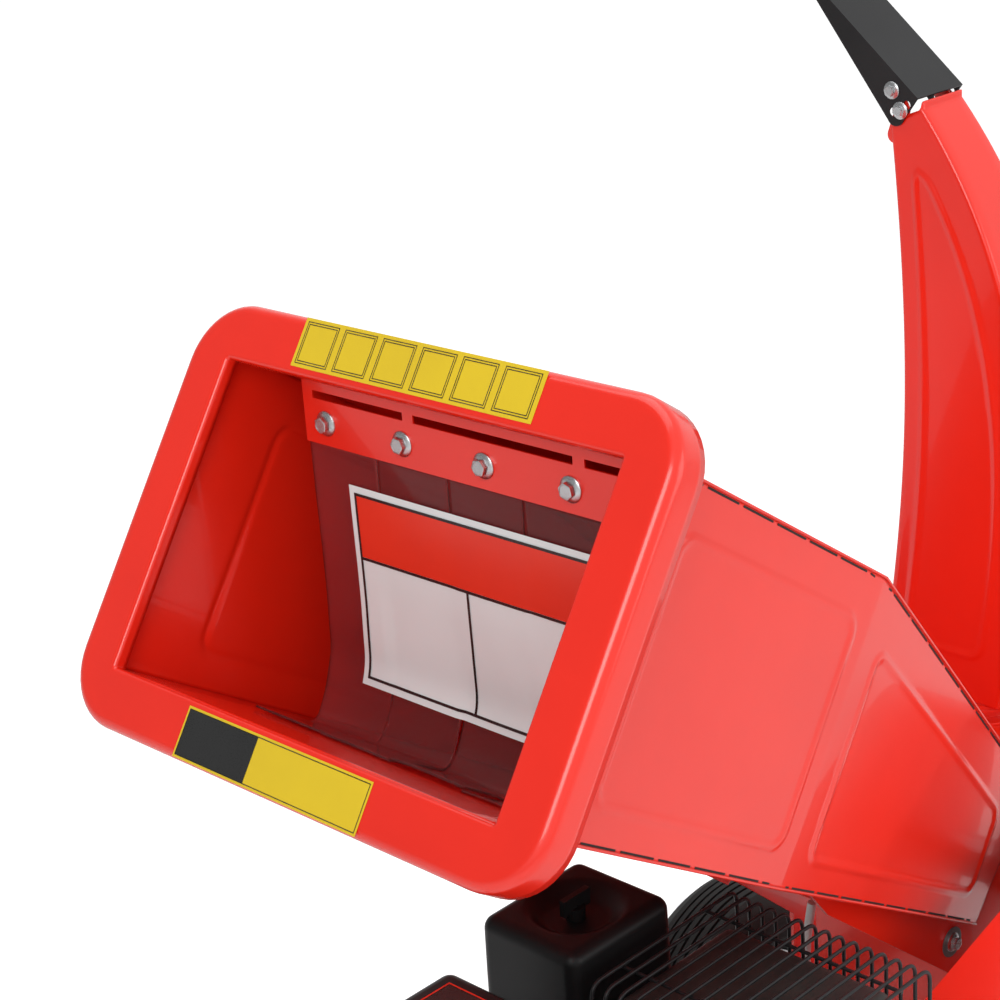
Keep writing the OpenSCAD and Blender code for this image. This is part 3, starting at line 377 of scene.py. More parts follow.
def turned(profile, at, axis, sides=48, wave=None, closed=False):
    """A profile of (radius, height) pairs turned about an axis. wave(angle, row) may scale it."""
    prof = np.asarray(profile, float)
    th = np.linspace(0, 2 * np.pi, sides, endpoint=False)
    r = prof[:, :1] * (wave(th[None], np.arange(len(prof))[:, None]) if wave else 1)
    p = np.stack([r * np.cos(th), r * np.sin(th), prof[:, 1:2] + 0 * th], -1)
    return grid(placed(p, at, *axes_for(axis)), loop_u=closed, loop_v=True, caps=not closed)


def filleted(points, radius, n=8):
    """A polyline whose corners become arcs: quadratic curves between the tangent points."""
    q = np.asarray(points, float)
    out = [q[:1]]
    t = np.linspace(0, 1, n)[:, None]
    for a, b, c in zip(q[:-2], q[1:-1], q[2:]):
        u, v = (a - b) / np.linalg.norm(a - b), (c - b) / np.linalg.norm(c - b)
        s, e = b + u * radius, b + v * radius
        out.append((1 - t) ** 2 * s + 2 * t * (1 - t) * b + t ** 2 * e)
    out.append(q[-1:])
    return np.concatenate(out)


def swept(path, section, side):
    """A closed section carried along a path that stays in the plane across side."""
    path = np.asarray(path, float)
    t = np.gradient(path, axis=0)
    t /= np.linalg.norm(t, axis=1, keepdims=True)
    s = np.asarray(side, float) / np.linalg.norm(side)
    n = np.cross(t, s)
    n /= np.linalg.norm(n, axis=1, keepdims=True)
    sec = np.asarray(section, float)
    p = path[:, None] + sec[None, :, :1] * s + sec[None, :, 1:] * n[:, None]
    return grid(p, loop_v=True, caps=True)


def circle(r, n):
    """Points round a circle, as (sideways, outwards) pairs."""
    a = np.linspace(0, 2 * np.pi, n, endpoint=False)
    return np.stack([r * np.cos(a), r * np.sin(a)], -1)


def tube(path, r, side, n):
    """A round bar along a path that stays in the plane across side."""
    return swept(path, circle(r, n), side)


def rounded_rect(w, h, r, k=8, m=4, m_side=None):
    """Outline with round corners: arcs of k points, m steps between, m_side on upright sides."""
    a = np.linspace(0, np.pi / 2, k)
    cx, cy = w / 2 - r, h / 2 - r
    arcs = [np.stack([sx * cx + r * np.cos(a + q), sy * cy + r * np.sin(a + q)], -1)
            for q, sx, sy in ((0, 1, 1), (np.pi / 2, -1, 1), (np.pi, -1, -1), (1.5 * np.pi, 1, -1))]
    out = []
    for i in range(4):
        steps = m_side if m_side and i % 2 else m
        s = np.linspace(0, 1, steps + 1)[1:-1, None]
        out += [arcs[i], arcs[i][-1] * (1 - s) + arcs[(i + 1) % 4][0] * s]
    return np.concatenate(out)


def inset(outline, d):
    """An outline moved inwards by d, along the mean of each point's two edge normals."""
    o = np.asarray(outline, float)
    a, b = o - np.roll(o, 1, 0), np.roll(o, -1, 0) - o
    a /= np.linalg.norm(a, axis=1, keepdims=True)
    b /= np.linalg.norm(b, axis=1, keepdims=True)
    na, nb = np.stack([-a[:, 1], a[:, 0]], -1), np.stack([-b[:, 1], b[:, 0]], -1)
    m = (na + nb) / (1 + (na * nb).sum(1, keepdims=True)).clip(0.35)
    area = 0.5 * np.sum(o[:, 0] * np.roll(o[:, 1], -1) - o[:, 1] * np.roll(o[:, 0], -1))
    return o + m * d * np.sign(area)


def plate(outline, z0, z1, edge, at, x, y, z, n=4):
    """An outline given depth, with edges rounded by a quarter circle at both ends."""
    q = np.linspace(0, np.pi / 2, n)
    rows = [(edge * (1 - np.sin(a)), z0 + edge * (1 - np.cos(a))) for a in q]
    rows += [(edge * (1 - np.sin(a)), z1 - edge * (1 - np.cos(a))) for a in q[::-1]]
    p = np.stack([np.concatenate([inset(outline, d), np.full((len(outline), 1), h)], 1)
                  for d, h in rows])
    return grid(placed(p, at, x, y, z), loop_v=True, caps=True)


def stops(lo, hi, r, k, m):
    """Places along one side of a soft block: k in each rounded end and m along the flat."""
    a = r * np.tan(np.linspace(0, np.pi / 4, k))
    return np.concatenate([lo + r - a[::-1], np.linspace(lo + r, hi - r, m + 1)[1:-1], hi - r + a])


def soft_block(lo, hi, r, k=5, m=3, shape=None):
    """A box whose skin is pulled to the nearest point of an inner box and pushed out by r."""
    lo, hi = np.asarray(lo, float), np.asarray(hi, float)
    ax = [stops(lo[i], hi[i], r, k, m) for i in range(3)]
    parts = []
    for i in range(3):
        u, v = (i + 1) % 3, (i + 2) % 3
        for end in (lo[i], hi[i]):
            a, b = np.meshgrid(ax[u], ax[v], indexing="ij")
            q = np.zeros(a.shape + (3,))
            q[..., i], q[..., u], q[..., v] = end, a, b
            c = np.clip(q, lo + r, hi - r)
            d = q - c
            p = c + r * d / np.linalg.norm(d, axis=-1, keepdims=True)
            parts.append(grid(shape(p) if shape else p))
    return parts


def softened(node, material, body, edge, steps):
    """A copy of a CAD node, merged and with its sharp edges rounded off."""
    ob = nodes[node].copy()
    ob.data = nodes[node].data.copy()
    ob.parent = None
    ob.name = node + "_skin"
    for key in list(ob.keys()):
        del ob[key]
    scene.collection.objects.link(ob)
    bm = bmesh.new()
    bm.from_mesh(ob.data)
    bmesh.ops.remove_doubles(bm, verts=bm.verts, dist=1e-6)
    bmesh.ops.dissolve_limit(bm, angle_limit=np.radians(0.5), verts=bm.verts, edges=bm.edges)
    bm.to_mesh(ob.data)
    bm.free()
    b = ob.modifiers.new("edge", "BEVEL")
    b.width, b.segments, b.limit_method = edge, steps, "ANGLE"
    b.angle_limit, b.use_clamp_overlap = np.radians(38), True
    b.harden_normals = True
    return dress(ob, material, body, node)


def flange_bolt(at, axis, flange, spin=0.0):
    """A hexagon bolt with its round flange: rings that change from circle to hexagon."""
    rows = [(0.500, 0.00, 0), (0.500, 0.050, 0), (0.485, 0.066, 0), (0.375, 0.115, 0),
            (0.345, 0.135, 1), (0.345, 0.310, 1), (0.318, 0.338, 1), (0.265, 0.350, 0),
            (0.245, 0.350, 0), (0.235, 0.335, 0), (0.0, 0.333, 0)]
    th = np.linspace(0, 2 * np.pi, 48, endpoint=False)
    hexagon = 0.2860 / np.cos((th + spin) % (np.pi / 3) - np.pi / 6)
    r = np.stack([np.minimum(hexagon, c) if h else np.full(48, c) for c, _, h in rows])
    r = r * flange
    z = np.array([[b] for _, b, _ in rows]) * flange + 0 * th
    p = np.stack([r * np.cos(th), r * np.sin(th), z], -1)
    return grid(placed(p, at, *axes_for(axis)), loop_v=True, caps=True)


# %% [markdown]
# The hopper has its own axes: n runs in from the mouth, h up across it. Everything on the hopper
# is written in those two and y, and `hop` puts it into the frame.

# %% hopper axes
TILT = np.radians(34)
AX_N = np.array([np.cos(TILT), 0, -np.sin(TILT)])
AX_H = np.array([np.sin(TILT), 0, np.cos(TILT)])
rim_lo, rim_hi = corners("hopper_rim")
RIM_W, RIM_LIP, RIM_R, SHEET = 0.050, 0.035, 0.058, 0.002
MOUTH_W, MOUTH_H = 0.440, 0.275
MOUTH = np.array([0.5 * (rim_lo[0] + rim_hi[0]), 0, 0.5 * (rim_lo[2] + rim_hi[2])])
MOUTH = MOUTH - AX_N * RIM_LIP / 2
print("mouth centre", MOUTH.round(4))


def hop(n, y, h):
    """Hopper coordinates to frame coordinates, for numbers or arrays of any one shape."""
    n, y, h = np.broadcast_arrays(n, y, h)
    return MOUTH + n[..., None] * AX_N + h[..., None] * AX_H + y[..., None] * np.array([0, 1, 0])


# %% [markdown]
# The ring round the mouth is one pressed sheet: a tight roll inside, a flat face, a soft bend and
# a lip folded back. Each row of the grid is a rounded rectangle that grows a little more.

# %% ring round the mouth
def rim_rows():
    """(growth past the mouth, corner radius, depth) from the inner roll to the folded lip."""
    roll, bend, half, inner_r = 0.0030, 0.0090, SHEET / 2, 0.0030
    q = np.linspace(0, np.pi / 2, 7)
    rows = [(half, inner_r, 0.0125), (half, inner_r, 0.0080)]
    rows += [(half + roll * (1 - np.cos(a)), inner_r + roll * (1 - np.cos(a)),
              half + roll * (1 - np.sin(a))) for a in q]
    g0, r0 = half + roll, inner_r + roll
    g1, r1 = RIM_W - half - bend, RIM_R - half - bend
    rows += [(g0 + (g1 - g0) * s, r0 + (r1 - r0) * s, half) for s in np.linspace(0, 1, 8)[1:-1]]
    rows += [(g1 + bend * np.sin(a), r1 + bend * np.sin(a), half + bend * (1 - np.cos(a)))
             for a in q]
    rows += [(RIM_W - half, RIM_R - half, d) for d in (0.018, 0.027, RIM_LIP)]
    return rows


def ring_grid(rows):
    """A rounded rectangle for each row, stacked into a grid on the hopper's axes."""
    p = []
    for grow, radius, depth in rows:
        o = rounded_rect(MOUTH_W + 2 * grow, MOUTH_H + 2 * grow, radius, 12, 14)
        p.append(hop(depth, o[:, 0], o[:, 1]))
    return np.stack(p)


rim = piece("mouth_ring", [grid(ring_grid(rim_rows()), loop_v=True)], "red", "frame",
            "hopper_rim", SHEET, 50)
print("ring faces:", len(rim.data.polygons))

# %% [markdown]
# The side walls are folded once and stiffened by a pressed bead. The bead is a low cosine ridge
# that follows a rounded outline; a distance to that outline gives its height at every point.

# %% hopper walls
BODY_W0, BODY_TOP, BEND_N, FLOOR_N, TOP_N = 0.458, 0.1465, 0.385, 0.855, 0.885
THROAT_W, THROAT_H, TAPER, RISE = 0.302, 0.147, 0.035, 0.03
BODY_W1 = BODY_W0 - 2 * TAPER * BEND_N
FLOOR0 = -MOUTH_H / 2
WALL_LAP, LEDGE = 0.0006, 0.0040
BEAD_CORNER, BEAD_HALF, BEAD_HIGH = 0.016, 0.0055, 0.0016


def half_y(n):
    """Inner half width: two straight tapers that meet at the fold."""
    return np.where(n < BEND_N, BODY_W0 / 2 + (BODY_W1 - BODY_W0) / 2 * n / BEND_N,
                    BODY_W1 / 2 + (THROAT_W - BODY_W1) / 2 * (n - BEND_N) / (FLOOR_N - BEND_N))


def floor_h(n):
    """Height of the floor sheet's top, which rises a little."""
    return FLOOR0 + RISE * n


def top_h(n):
    """Height of the top sheet: level, then falling to the throat."""
    end = floor_h(FLOOR_N) + THROAT_H
    return np.where(n < BEND_N, BODY_TOP,
                    BODY_TOP + (end - BODY_TOP) * (n - BEND_N) / (TOP_N - BEND_N))


def bead(a, b, corner, half, high):
    """Ridge over a rounded outline: a and b are the distances inside its two pairs of sides."""
    inside = corner - np.hypot(np.maximum(corner - a, 0), np.maximum(corner - b, 0))
    d = np.where((a > corner) & (b > corner), np.minimum(a, b), inside)
    return high * 0.5 * (1 + np.cos(np.pi * np.clip(d / half, -1, 1)))


def wall_grid(side, nu=287, nv=97):
    """One side wall, its bead pressed outwards."""
    u, v = np.meshgrid(np.linspace(0, 1, nu), np.linspace(0, 1, nv), indexing="ij")
    n = SHEET + (FLOOR_N + (TOP_N - FLOOR_N) * v - SHEET) * u
    low, high = floor_h(n) - WALL_LAP, top_h(n) + WALL_LAP
    h = low + (high - low) * v
    first = bead(np.minimum(n - 0.090, 0.363 - n), np.minimum(h - low - 0.032, 0.105 - h),
                 BEAD_CORNER, BEAD_HALF, BEAD_HIGH)
    second = bead(np.minimum(n - 0.421, 0.815 - n),
                  np.minimum(h - low - 0.028, high - h - 0.050),
                  BEAD_CORNER, BEAD_HALF, BEAD_HIGH)
    return hop(n, side * (half_y(n) + SHEET / 2 + first + second), h)


def cross_grid(height, ends, nu=60, nv=9):
    """Top or floor sheet, a little wider than the walls so that its edges make a ledge."""
    n = np.unique(np.concatenate([np.linspace(ends[0], ends[1], nu), [BEND_N]]))
    w = half_y(n) + LEDGE
    v = np.linspace(-1, 1, nv)
    return hop(n[:, None] + 0 * v, w[:, None] * v, height(n)[:, None] + 0 * v)


wall_l = piece("left_wall", [grid(wall_grid(1))], "red", "frame", "hopper_left_panel",
               SHEET, 60)
piece("right_wall", [grid(wall_grid(-1))], "red", "frame", "hopper_right_panel",
      SHEET, 60)
top = piece("top_sheet", [grid(cross_grid(lambda n: top_h(n) + SHEET / 2, (SHEET, TOP_N)))],
            "red", "frame", "hopper_top_panel", SHEET, 3)
piece("floor_sheet", [grid(cross_grid(lambda n: floor_h(n) - SHEET / 2, (0.004, FLOOR_N)))],
      "red", "frame", "hopper_floor_panel", SHEET, 3)
print("wall faces:", len(wall_l.data.polygons), len(top.data.polygons))


# %% [markdown]
# The sheets are joined by tabs in slots. From outside each slot shows as a short line of shade
# beside the ledge; that shade is painted as a row of thin dark strips that sit just proud of the
# wall.

# %% painted shade of the slots beside the ledges
def slot_shade_strips(side, height, start, end, pitch=0.0525, long=0.0455, tall=0.0018):
    """Thin strips along an edge of a side wall, coloured with the slots' painted shade: each a box
    of eight corners.
    """
    n0 = np.arange(start, end, pitch)
    parts = []
    for a in n0:
        n = np.array([a, min(a + long, end)])[:, None] + np.zeros((1, 4))
        lift = np.array([0, 0, tall, tall])[None]
        out = np.array([0.0012, 0.0024, 0.0024, 0.0012])[None]
        parts.append(grid(hop(n, side * (half_y(n) + out), height(n) + lift), loop_v=True,
                          caps=True))
    return parts


slots = []
for s in (-1, 1):
    slots += slot_shade_strips(s, lambda n: floor_h(n) + 0.0006, 0.040, 0.838)
    slots += slot_shade_strips(s, lambda n: top_h(n) - 0.0028, 0.045, 0.870)
# the strips carry the painted shade of the slots, not a colour of the sheet
piece("slot_shade_strips", slots, "gap", "frame", angle=20)
print("slots:", len(slots))


# %% weld beads
def weld(a, b, r, pitch=0.0045):
    """A ripple of weld metal: a round bar whose radius swells once every pitch."""
    a, b = np.asarray(a, float), np.asarray(b, float)
    count = max(int(np.linalg.norm(b - a) / pitch) * 4, 8)
    s = np.linspace(0, 1, count)[:, None]
    path = a * (1 - s) + b * s
    d = (b - a) / np.linalg.norm(b - a)
    x, y, _ = axes_for(d)
    th = np.linspace(0, 2 * np.pi, 8, endpoint=False)
    rad = r * (1 + 0.22 * np.sin(np.arange(count) * np.pi / 2)) * np.where(
        (s[:, 0] == 0) | (s[:, 0] == 1), 0.2, 1)
    ring = np.cos(th)[:, None] * x + np.sin(th)[:, None] * y
    return grid(path[:, None] + rad[:, None, None] * ring[None], loop_v=True, caps=True)


BEAD_N, BEAD_H, BEAD_LONG, BEAD_R = 0.010, BODY_TOP - 0.0005, 0.016, 0.003
beads = [weld(hop(BEAD_N, y, BEAD_H), hop(BEAD_N, y - BEAD_LONG, BEAD_H), BEAD_R)
         for y in (0.214, 0.186, 0.150, 0.06, -0.06, -0.17, -0.205)]
piece("mouth_welds", beads, "red", "frame")

# %% [markdown]
# The strap is a flat bar with a row of zinc bolts. Each bolt shows a round flange and a hexagon
# with a chamfer round it and a shallow dish in its top.

# %% strap and its bolts
softened("curtain_strap", "red", "frame", 0.0007, 3)
strap_lo = corners("curtain_strap")[0]
STRAP_X, STRAP_Z = strap_lo[0], strap_lo[2] + 0.020
BIG, SMALL = 0.0218, 0.0179  # flange diameters of the M10 and M8 bolts
BOLT_PITCH = 0.092
piece("strap_bolts", [flange_bolt((STRAP_X, (i - 1.5) * BOLT_PITCH, STRAP_Z), (-1, 0, 0), BIG, spin)
                      for i, spin in enumerate((0.3, 0.9, 0.1, 0.6))],
      "zinc", "frame", "curtain_bolts", 0, 35)
print("strap at", strap_lo.round(4))

# %% [markdown]
# The curtain is clear, smoked sheet cut into four strips. It hangs from the strap, bends just
# above the floor and its end lies on the floor towards the mouth. A smooth curve through a few
# points gives that path, and each strip leaves it by its own small amount.

# %% curtain
CUT_W, CUT_L, STRIPS = 0.330, 0.330, 4
CREASE_AT, CREASE_WIDE, CREASE_HIGH = 0.262, 0.012, 0.0022
STRAY_BY = 0.20  # length below the strap at which the strips have strayed in full
HINGE = np.array([strap_lo[0] + 0.0038, strap_lo[2]])


def hang_path(count=90):
    """The curtain's side view: arc length against x and z, from the strap to the floor."""
    lying = np.array([0.190, 0.160, 0.130, 0.090, 0.04])
    lay = hop(lying, 0.0, floor_h(lying) + 0.0035)
    key = np.array([HINGE, HINGE + (0.0005, -0.070), HINGE + (0.002, -0.140),
                    HINGE + (0.0015, -0.195), HINGE + (-0.012, -0.232)])
    key = np.concatenate([key, lay[:, [0, 2]]])
    t = np.concatenate([[0], np.cumsum(np.linalg.norm(np.diff(key, axis=0), axis=1))])
    fine = np.linspace(0, t[-1], 600)
    x, z = np.interp(fine, t, key[:, 0]), np.interp(fine, t, key[:, 1])
    pad = 30
    w = np.hanning(2 * pad + 1)
    w /= w.sum()
    x = np.convolve(np.pad(x, pad, mode="reflect", reflect_type="odd"), w, "valid")
    z = np.convolve(np.pad(z, pad, mode="reflect", reflect_type="odd"), w, "valid")
    s = np.concatenate([[0], np.cumsum(np.hypot(np.diff(x), np.diff(z)))])
    at = np.linspace(0, CUT_L, count)
    return at, np.interp(at, s, x), np.interp(at, s, z)


S_AT, HANG_X, HANG_Z = hang_path()


def on_curtain(y, s, lift=0.0, strip=None):
    """Points of the curtain at sideways place y and length s below the strap."""
    x, z = np.interp(s, S_AT, HANG_X), np.interp(s, S_AT, HANG_Z)
    step = 0.002
    dx = np.interp(s + step, S_AT, HANG_X) - np.interp(s - step, S_AT, HANG_X)
    dz = np.interp(s + step, S_AT, HANG_Z) - np.interp(s - step, S_AT, HANG_Z)
    m = np.hypot(dx, dz)
    nx, nz = dz / m, -dx / m
    k = np.clip((y + CUT_W / 2) / (CUT_W / STRIPS), 0, STRIPS - 1e-6)
    k = np.floor(k) if strip is None else strip
    local = (y + CUT_W / 2) / (CUT_W / STRIPS) - k - 0.5
    fall = np.clip(s / STRAY_BY, 0, 1) ** 2
    wave = 0.0016 * fall * np.sin(2.1 * k + 9 * s / CUT_L) + 0.0022 * fall * local ** 2 * (
        1 + np.cos(k))
    crease_at = CREASE_AT + 0.012 * np.sin(1.7 * k) + 0.02 * local
    crease = CREASE_HIGH * np.exp(-((s - crease_at) / CREASE_WIDE) ** 2)
    off = lift - wave - crease
    return np.stack([x + nx * off, y + 0 * s, z + nz * off], -1)


CUT_GAP = 0.0003  # half of the slit between two strips
parts = []
for k in range(STRIPS):
    y0 = -CUT_W / 2 + k * CUT_W / STRIPS
    y, s = np.meshgrid(np.linspace(y0 + CUT_GAP, y0 + CUT_W / STRIPS - CUT_GAP, 25), S_AT,
                       indexing="ij")
    parts.append(grid(on_curtain(y, s, strip=k)))
curtain = piece("curtain_sheet", parts, "curtain", "curtain", "safety_curtain",
                0.0020, 60)


def film(name, rects, where, material, body, steps):
    """Flat film patches: each rectangle (a0, a1, b0, b1) is laid on a surface by where(a, b)."""
    parts = []
    for a0, a1, b0, b1 in rects:
        a, b = np.meshgrid(np.linspace(a0, a1, steps[0]), np.linspace(b0, b1, steps[1]),
                           indexing="ij")
        parts.append(grid(where(a, b)))
    return piece(name, parts, material, body, angle=60)


def frame_lines(a0, a1, b0, b1, w):
    """Four thin rectangles that draw an outline of width w."""
    return [(a0, a1, b0, b0 + w), (a0, a1, b1 - w, b1), (a0, a0 + w, b0, b1), (a1 - w, a1, b0, b1)]


# sideways from a0 to a1 and down from b0 to b1, each layer a little further off the sheet
NOTE, HEADER = (-0.160, 0.118, 0.030, 0.214), (-0.152, 0.110, 0.038, 0.094)
OUTLINE, NOTE_LINE = (-0.154, 0.112, 0.036, 0.208), 0.0026
RULES = [(-0.154, 0.112, 0.094, 0.0966), (-0.0165, -0.0139, 0.0966, 0.206)]
LIFT = 0.0032
notes = [film("note_ground", [NOTE], lambda a, b: on_curtain(a, b, LIFT), "white", "curtain",
              (40, 40)),
         film("note_header", [HEADER], lambda a, b: on_curtain(a, b, LIFT + 0.0004), "header",
              "curtain", (40, 20)),
         film("note_lines", frame_lines(*OUTLINE, NOTE_LINE) + RULES,
              lambda a, b: on_curtain(a, b, LIFT + 0.0006), "ink", "curtain", (40, 20))]
print("curtain ends at", on_curtain(np.array(0.0), np.array(CUT_L)).round(3))

# %% [markdown]
# Plain films fill the two places on the ring where a user would put notes. They are bare: a
# yellow ground with empty frames above, and a yellow and black one below.

# %% films on the ring
def on_ring(lift):
    """Points on the ring's flat face, sideways and up, a little in front of it."""
    return lambda a, b: hop(np.full(a.shape, -lift), a, b)


UPPER, LOWER_BAR = (-0.128, 0.142, 0.1440, 0.1860), (-0.100, 0.116, -0.1850, -0.1425)
GROUND_UP, LINE_UP, THIN = 0.0003, 0.0005, 0.0007
FIRST, APART = 0.1195, 0.0448
film("upper_film", [UPPER], on_ring(GROUND_UP), "yellow", "frame", (2, 2))
squares = []
for i in range(6):
    c = FIRST - APART * i
    squares += frame_lines(c - 0.0190, c + 0.0190, 0.1470, 0.1830, THIN)
    squares += frame_lines(c - 0.0170, c + 0.0170, 0.1490, 0.1810, THIN)
film("upper_film_lines", squares, on_ring(LINE_UP), "ink", "frame", (2, 2))
film("lower_film", [LOWER_BAR], on_ring(GROUND_UP), "yellow", "frame", (2, 2))
film("lower_film_lines", frame_lines(-0.098, 0.114, -0.1830, -0.1445, THIN)
     + [(0.030, 0.114, -0.1830, -0.1445)], on_ring(LINE_UP), "ink", "frame", (2, 2))

# %% [markdown]
# The chute is one bent tube of sheet. Two cubic curves give its inner and outer edge; between them
# each row of the grid is a rectangle with small round corners, and a bead runs up both sides.
# Its end stays inside the circle that the deflector's own end swings on.

# %% chute
CHUTE_X, CHUTE_Z, CHUTE_H = 0.6817, 0.6683, 0.623
INNER = np.array([[74, 668.3], [50, 860.3], [38, 1000.3], [75, 1277.3]]) / 1000
OUTER = np.array([[-74, 668.3], [-110, 850.3], [-125, 1090.3], [38, 1291.3]]) / 1000
CURVE_END, LIP_HIGH = 0.998, 0.0075
PRESS = (0.014, 0.0055, 0.0016)


def bezier(c, t):
    """Points of a cubic curve given by four control points."""
    t = t[:, None]
    return ((1 - t) ** 3 * c[0] + 3 * t * (1 - t) ** 2 * c[1] + 3 * t ** 2 * (1 - t) * c[2]
            + t ** 3 * c[3])


def chute_half(z):
    """Half width of the chute, which narrows from its base to its outlet."""
    return 0.060 - 0.024 * (z - CHUTE_Z) / (CHUTE_H + 0.020)


def chute_rows(rows=190):
    """The chute's sections from its base to its outlet, then a lip on its outer wall."""
    t = np.linspace(0, CURVE_END, rows)
    a, b = bezier(INNER, t), bezier(OUTER, t)
    out = []
    for p, q in zip(a, b):
        mid, deep = (p + q) / 2, np.linalg.norm(q - p) - SHEET
        w = chute_half(mid[1]) - SHEET / 2
        o = rounded_rect(2 * w, deep, 0.0035, 5, 6, 44)
        s = o[:, 1] / deep
        y, z = mid[0] - (q - p)[0] * s, mid[1] - (q - p)[1] * s
        side = np.abs(o[:, 0]) > w - 1e-6
        ridge = bead(np.minimum((0.5 - s) * deep - 0.024, (0.5 + s) * deep - 0.034),
                     np.minimum(1.228 - z, z - 0.72), *PRESS)
        x = o[:, 0] * (chute_half(z) - SHEET / 2) / w + np.sign(o[:, 0]) * ridge * side
        out.append(np.stack([CHUTE_X + x, y, z], -1))
    # one at the outer wall, nothing a little way round the sides
    near = np.clip((0.07 - (s + 0.5)) / 0.05, 0, 1)[:, None]
    for k in (0.25, 0.5, 0.75, 1.0):
        out.append(out[rows - 1] + near * k * np.array([0, 0, LIP_HIGH]))
    return np.stack(out)


chute = piece("chute_tube", [grid(chute_rows(), loop_v=True)], "red", "chute",
              ("chute_left_plate", "chute_right_plate", "chute_curved_plates"),
              SHEET, 45)
PIVOT, LOWER = np.array([0.070, 1.3073]), np.array([0.0600, 1.2877])


def capsule(a, b, r, k=12):
    """Outline round two points, with half circles at its ends."""
    a, b = np.asarray(a, float), np.asarray(b, float)
    base = np.arctan2(*(b - a)[::-1])
    q = np.linspace(-np.pi / 2, np.pi / 2, k)
    ends = [np.stack([c[0] + r * np.cos(q + t), c[1] + r * np.sin(q + t)], -1)
            for c, t in ((b, base), (a, base + np.pi))]
    return np.concatenate(ends)


# the side's end round the two bolts: a lobe between them and a narrower one that runs down
EAR_R, EAR_Z, FOOT_LONG, FOOT_TURN = 0.009, 1.29, 0.028, np.radians(-70)
ears = []
foot = LOWER + FOOT_LONG * np.array([np.cos(FOOT_TURN), np.sin(FOOT_TURN)])
for s in (-1, 1):
    w = chute_half(EAR_Z) + 0.0004
    for a, b, less in ((PIVOT, LOWER, 0.0), (LOWER, foot, 0.0004)):
        ears.append(plate(capsule(a, b, EAR_R - less), -0.001, 0.001, 0.0004,
                          (CHUTE_X + s * (w - 0.001 - less), 0, 0), (0, 1, 0), (0, 0, 1),
                          (1, 0, 0), 3))
piece("chute_ears", ears, "red", "chute")
softened("deflector", "black", "deflector", 0.0007, 3)
bolt_lo, bolt_hi = corners("deflector_bolts")
HEAD_HIGH = 0.0080
CHEEK = 0.5 * (bolt_hi[0] - bolt_lo[0]) - HEAD_HIGH
piece("deflector_screws", [flange_bolt((CHUTE_X + s * CHEEK, p[0], p[1]), (s, 0, 0), SMALL, i)
                           for s in (-1, 1) for i, p in ((0.2, PIVOT), (0.8, LOWER))],
      "zinc", "chute", "deflector_bolts", 0, 35)
print("chute faces:", len(chute.data.polygons))

# %% [markdown]
# Moulded pieces are soft blocks: a box whose skin is pushed out from a smaller box inside it. The
# filter cover also has a bowl in its top, and the tank has a crown and a seam.

# %% air filter and fuel tank
def smooth(x):
    """A step from 0 to 1 without corners."""
    x = np.clip(x, 0, 1)
    return x * x * (3 - 2 * x)


LEVEL = (1, 0, 0), (0, 1, 0), (0, 0, 1)
f_lo, f_hi = corners("air_filter_cover")
f_mid = (f_lo + f_hi) / 2


def bowl(p):
    """Top sunk in a dish with a flat middle, and walls drawn in a little towards the top."""
    p = p.copy()
    rho = np.hypot(p[..., 0] - f_mid[0], p[..., 1] - f_mid[1])
    up = (p[..., 2] - f_lo[2]) / (f_hi[2] - f_lo[2])
    p[..., 2] -= 0.0125 * smooth((0.049 - rho) / 0.022) * smooth((up - 0.75) * 4)
    for i in (0, 1):
        p[..., i] -= (p[..., i] - f_mid[i]) * 0.012 * up ** 2
    return p


cover = piece("filter_shell", soft_block(f_lo, f_hi, 0.0125, 8, 40, bowl), "plastic", "frame",
              "air_filter_cover", 0, 60)
lip = rounded_rect(*(f_hi - f_lo)[:2] + 0.004, 0.020, 8, 4)
piece("filter_seam", [plate(lip, 0.0, 0.004, 0.0014, (f_mid[0], f_mid[1], f_lo[2] + 0.014),
                            *LEVEL)], "plastic", "frame")
softened("filter_knob", "plastic", "filter_knob", 0.0016, 3)

NECK_HIGH, CROWN = 0.012, 0.0025
t_lo, t_hi = corners("fuel_tank")
t_hi[2] -= NECK_HIGH
t_mid = (t_lo + t_hi) / 2


def crown(p):
    """Top and walls pushed out most in the middle, as blow moulding leaves them."""
    p = p.copy()
    u = 2 * (p - t_mid) / (t_hi - t_lo)
    for i in range(3):
        j, k = (i + 1) % 3, (i + 2) % 3
        swell = (1 - u[..., j] ** 2).clip(0)
        p[..., i] += CROWN * u[..., i] * swell * (1 - u[..., k] ** 2).clip(0)
        p[..., i] -= CROWN * u[..., i]
    return p


neck = np.array([t_mid[0], t_mid[1], t_hi[2] - 0.006])
seam = rounded_rect(*(t_hi - t_lo)[:2] + 0.006, 0.035, 10, 6)
piece("tank_shell", soft_block(t_lo, t_hi, 0.013, 8, 20, crown)
      + [plate(seam, -0.002, 0.002, 0.0012, (t_mid[0], t_mid[1], t_mid[2] - 0.012), *LEVEL),
         turned([(0.0, 0), (0.0235, 0), (0.0235, 0.016), (0.022, 0.0175), (0.0, 0.0175)], neck,
                (0, 0, 1))], "plastic", "frame", "fuel_tank", 0, 60)
cap_lo, cap_hi = corners("fuel_cap")
cap_mid = (cap_lo + cap_hi) / 2
ribs = turned([(0.027, 0), (0.0315, 0.001), (0.0320, 0.004), (0.0320, 0.0175), (0.0300, 0.0205),
               (0.0265, 0.0215), (0.0240, 0.0205), (0.0, 0.0195)],
              (cap_mid[0], cap_mid[1], cap_lo[2]), (0, 0, 1), 144,
              lambda a, row: 1 - 0.03 * (np.cos(18 * a) > 0.2) * (row > 0) * (row < 5))
piece("tank_cap", [ribs], "plastic", "fuel_cap", "fuel_cap", 0, 30)


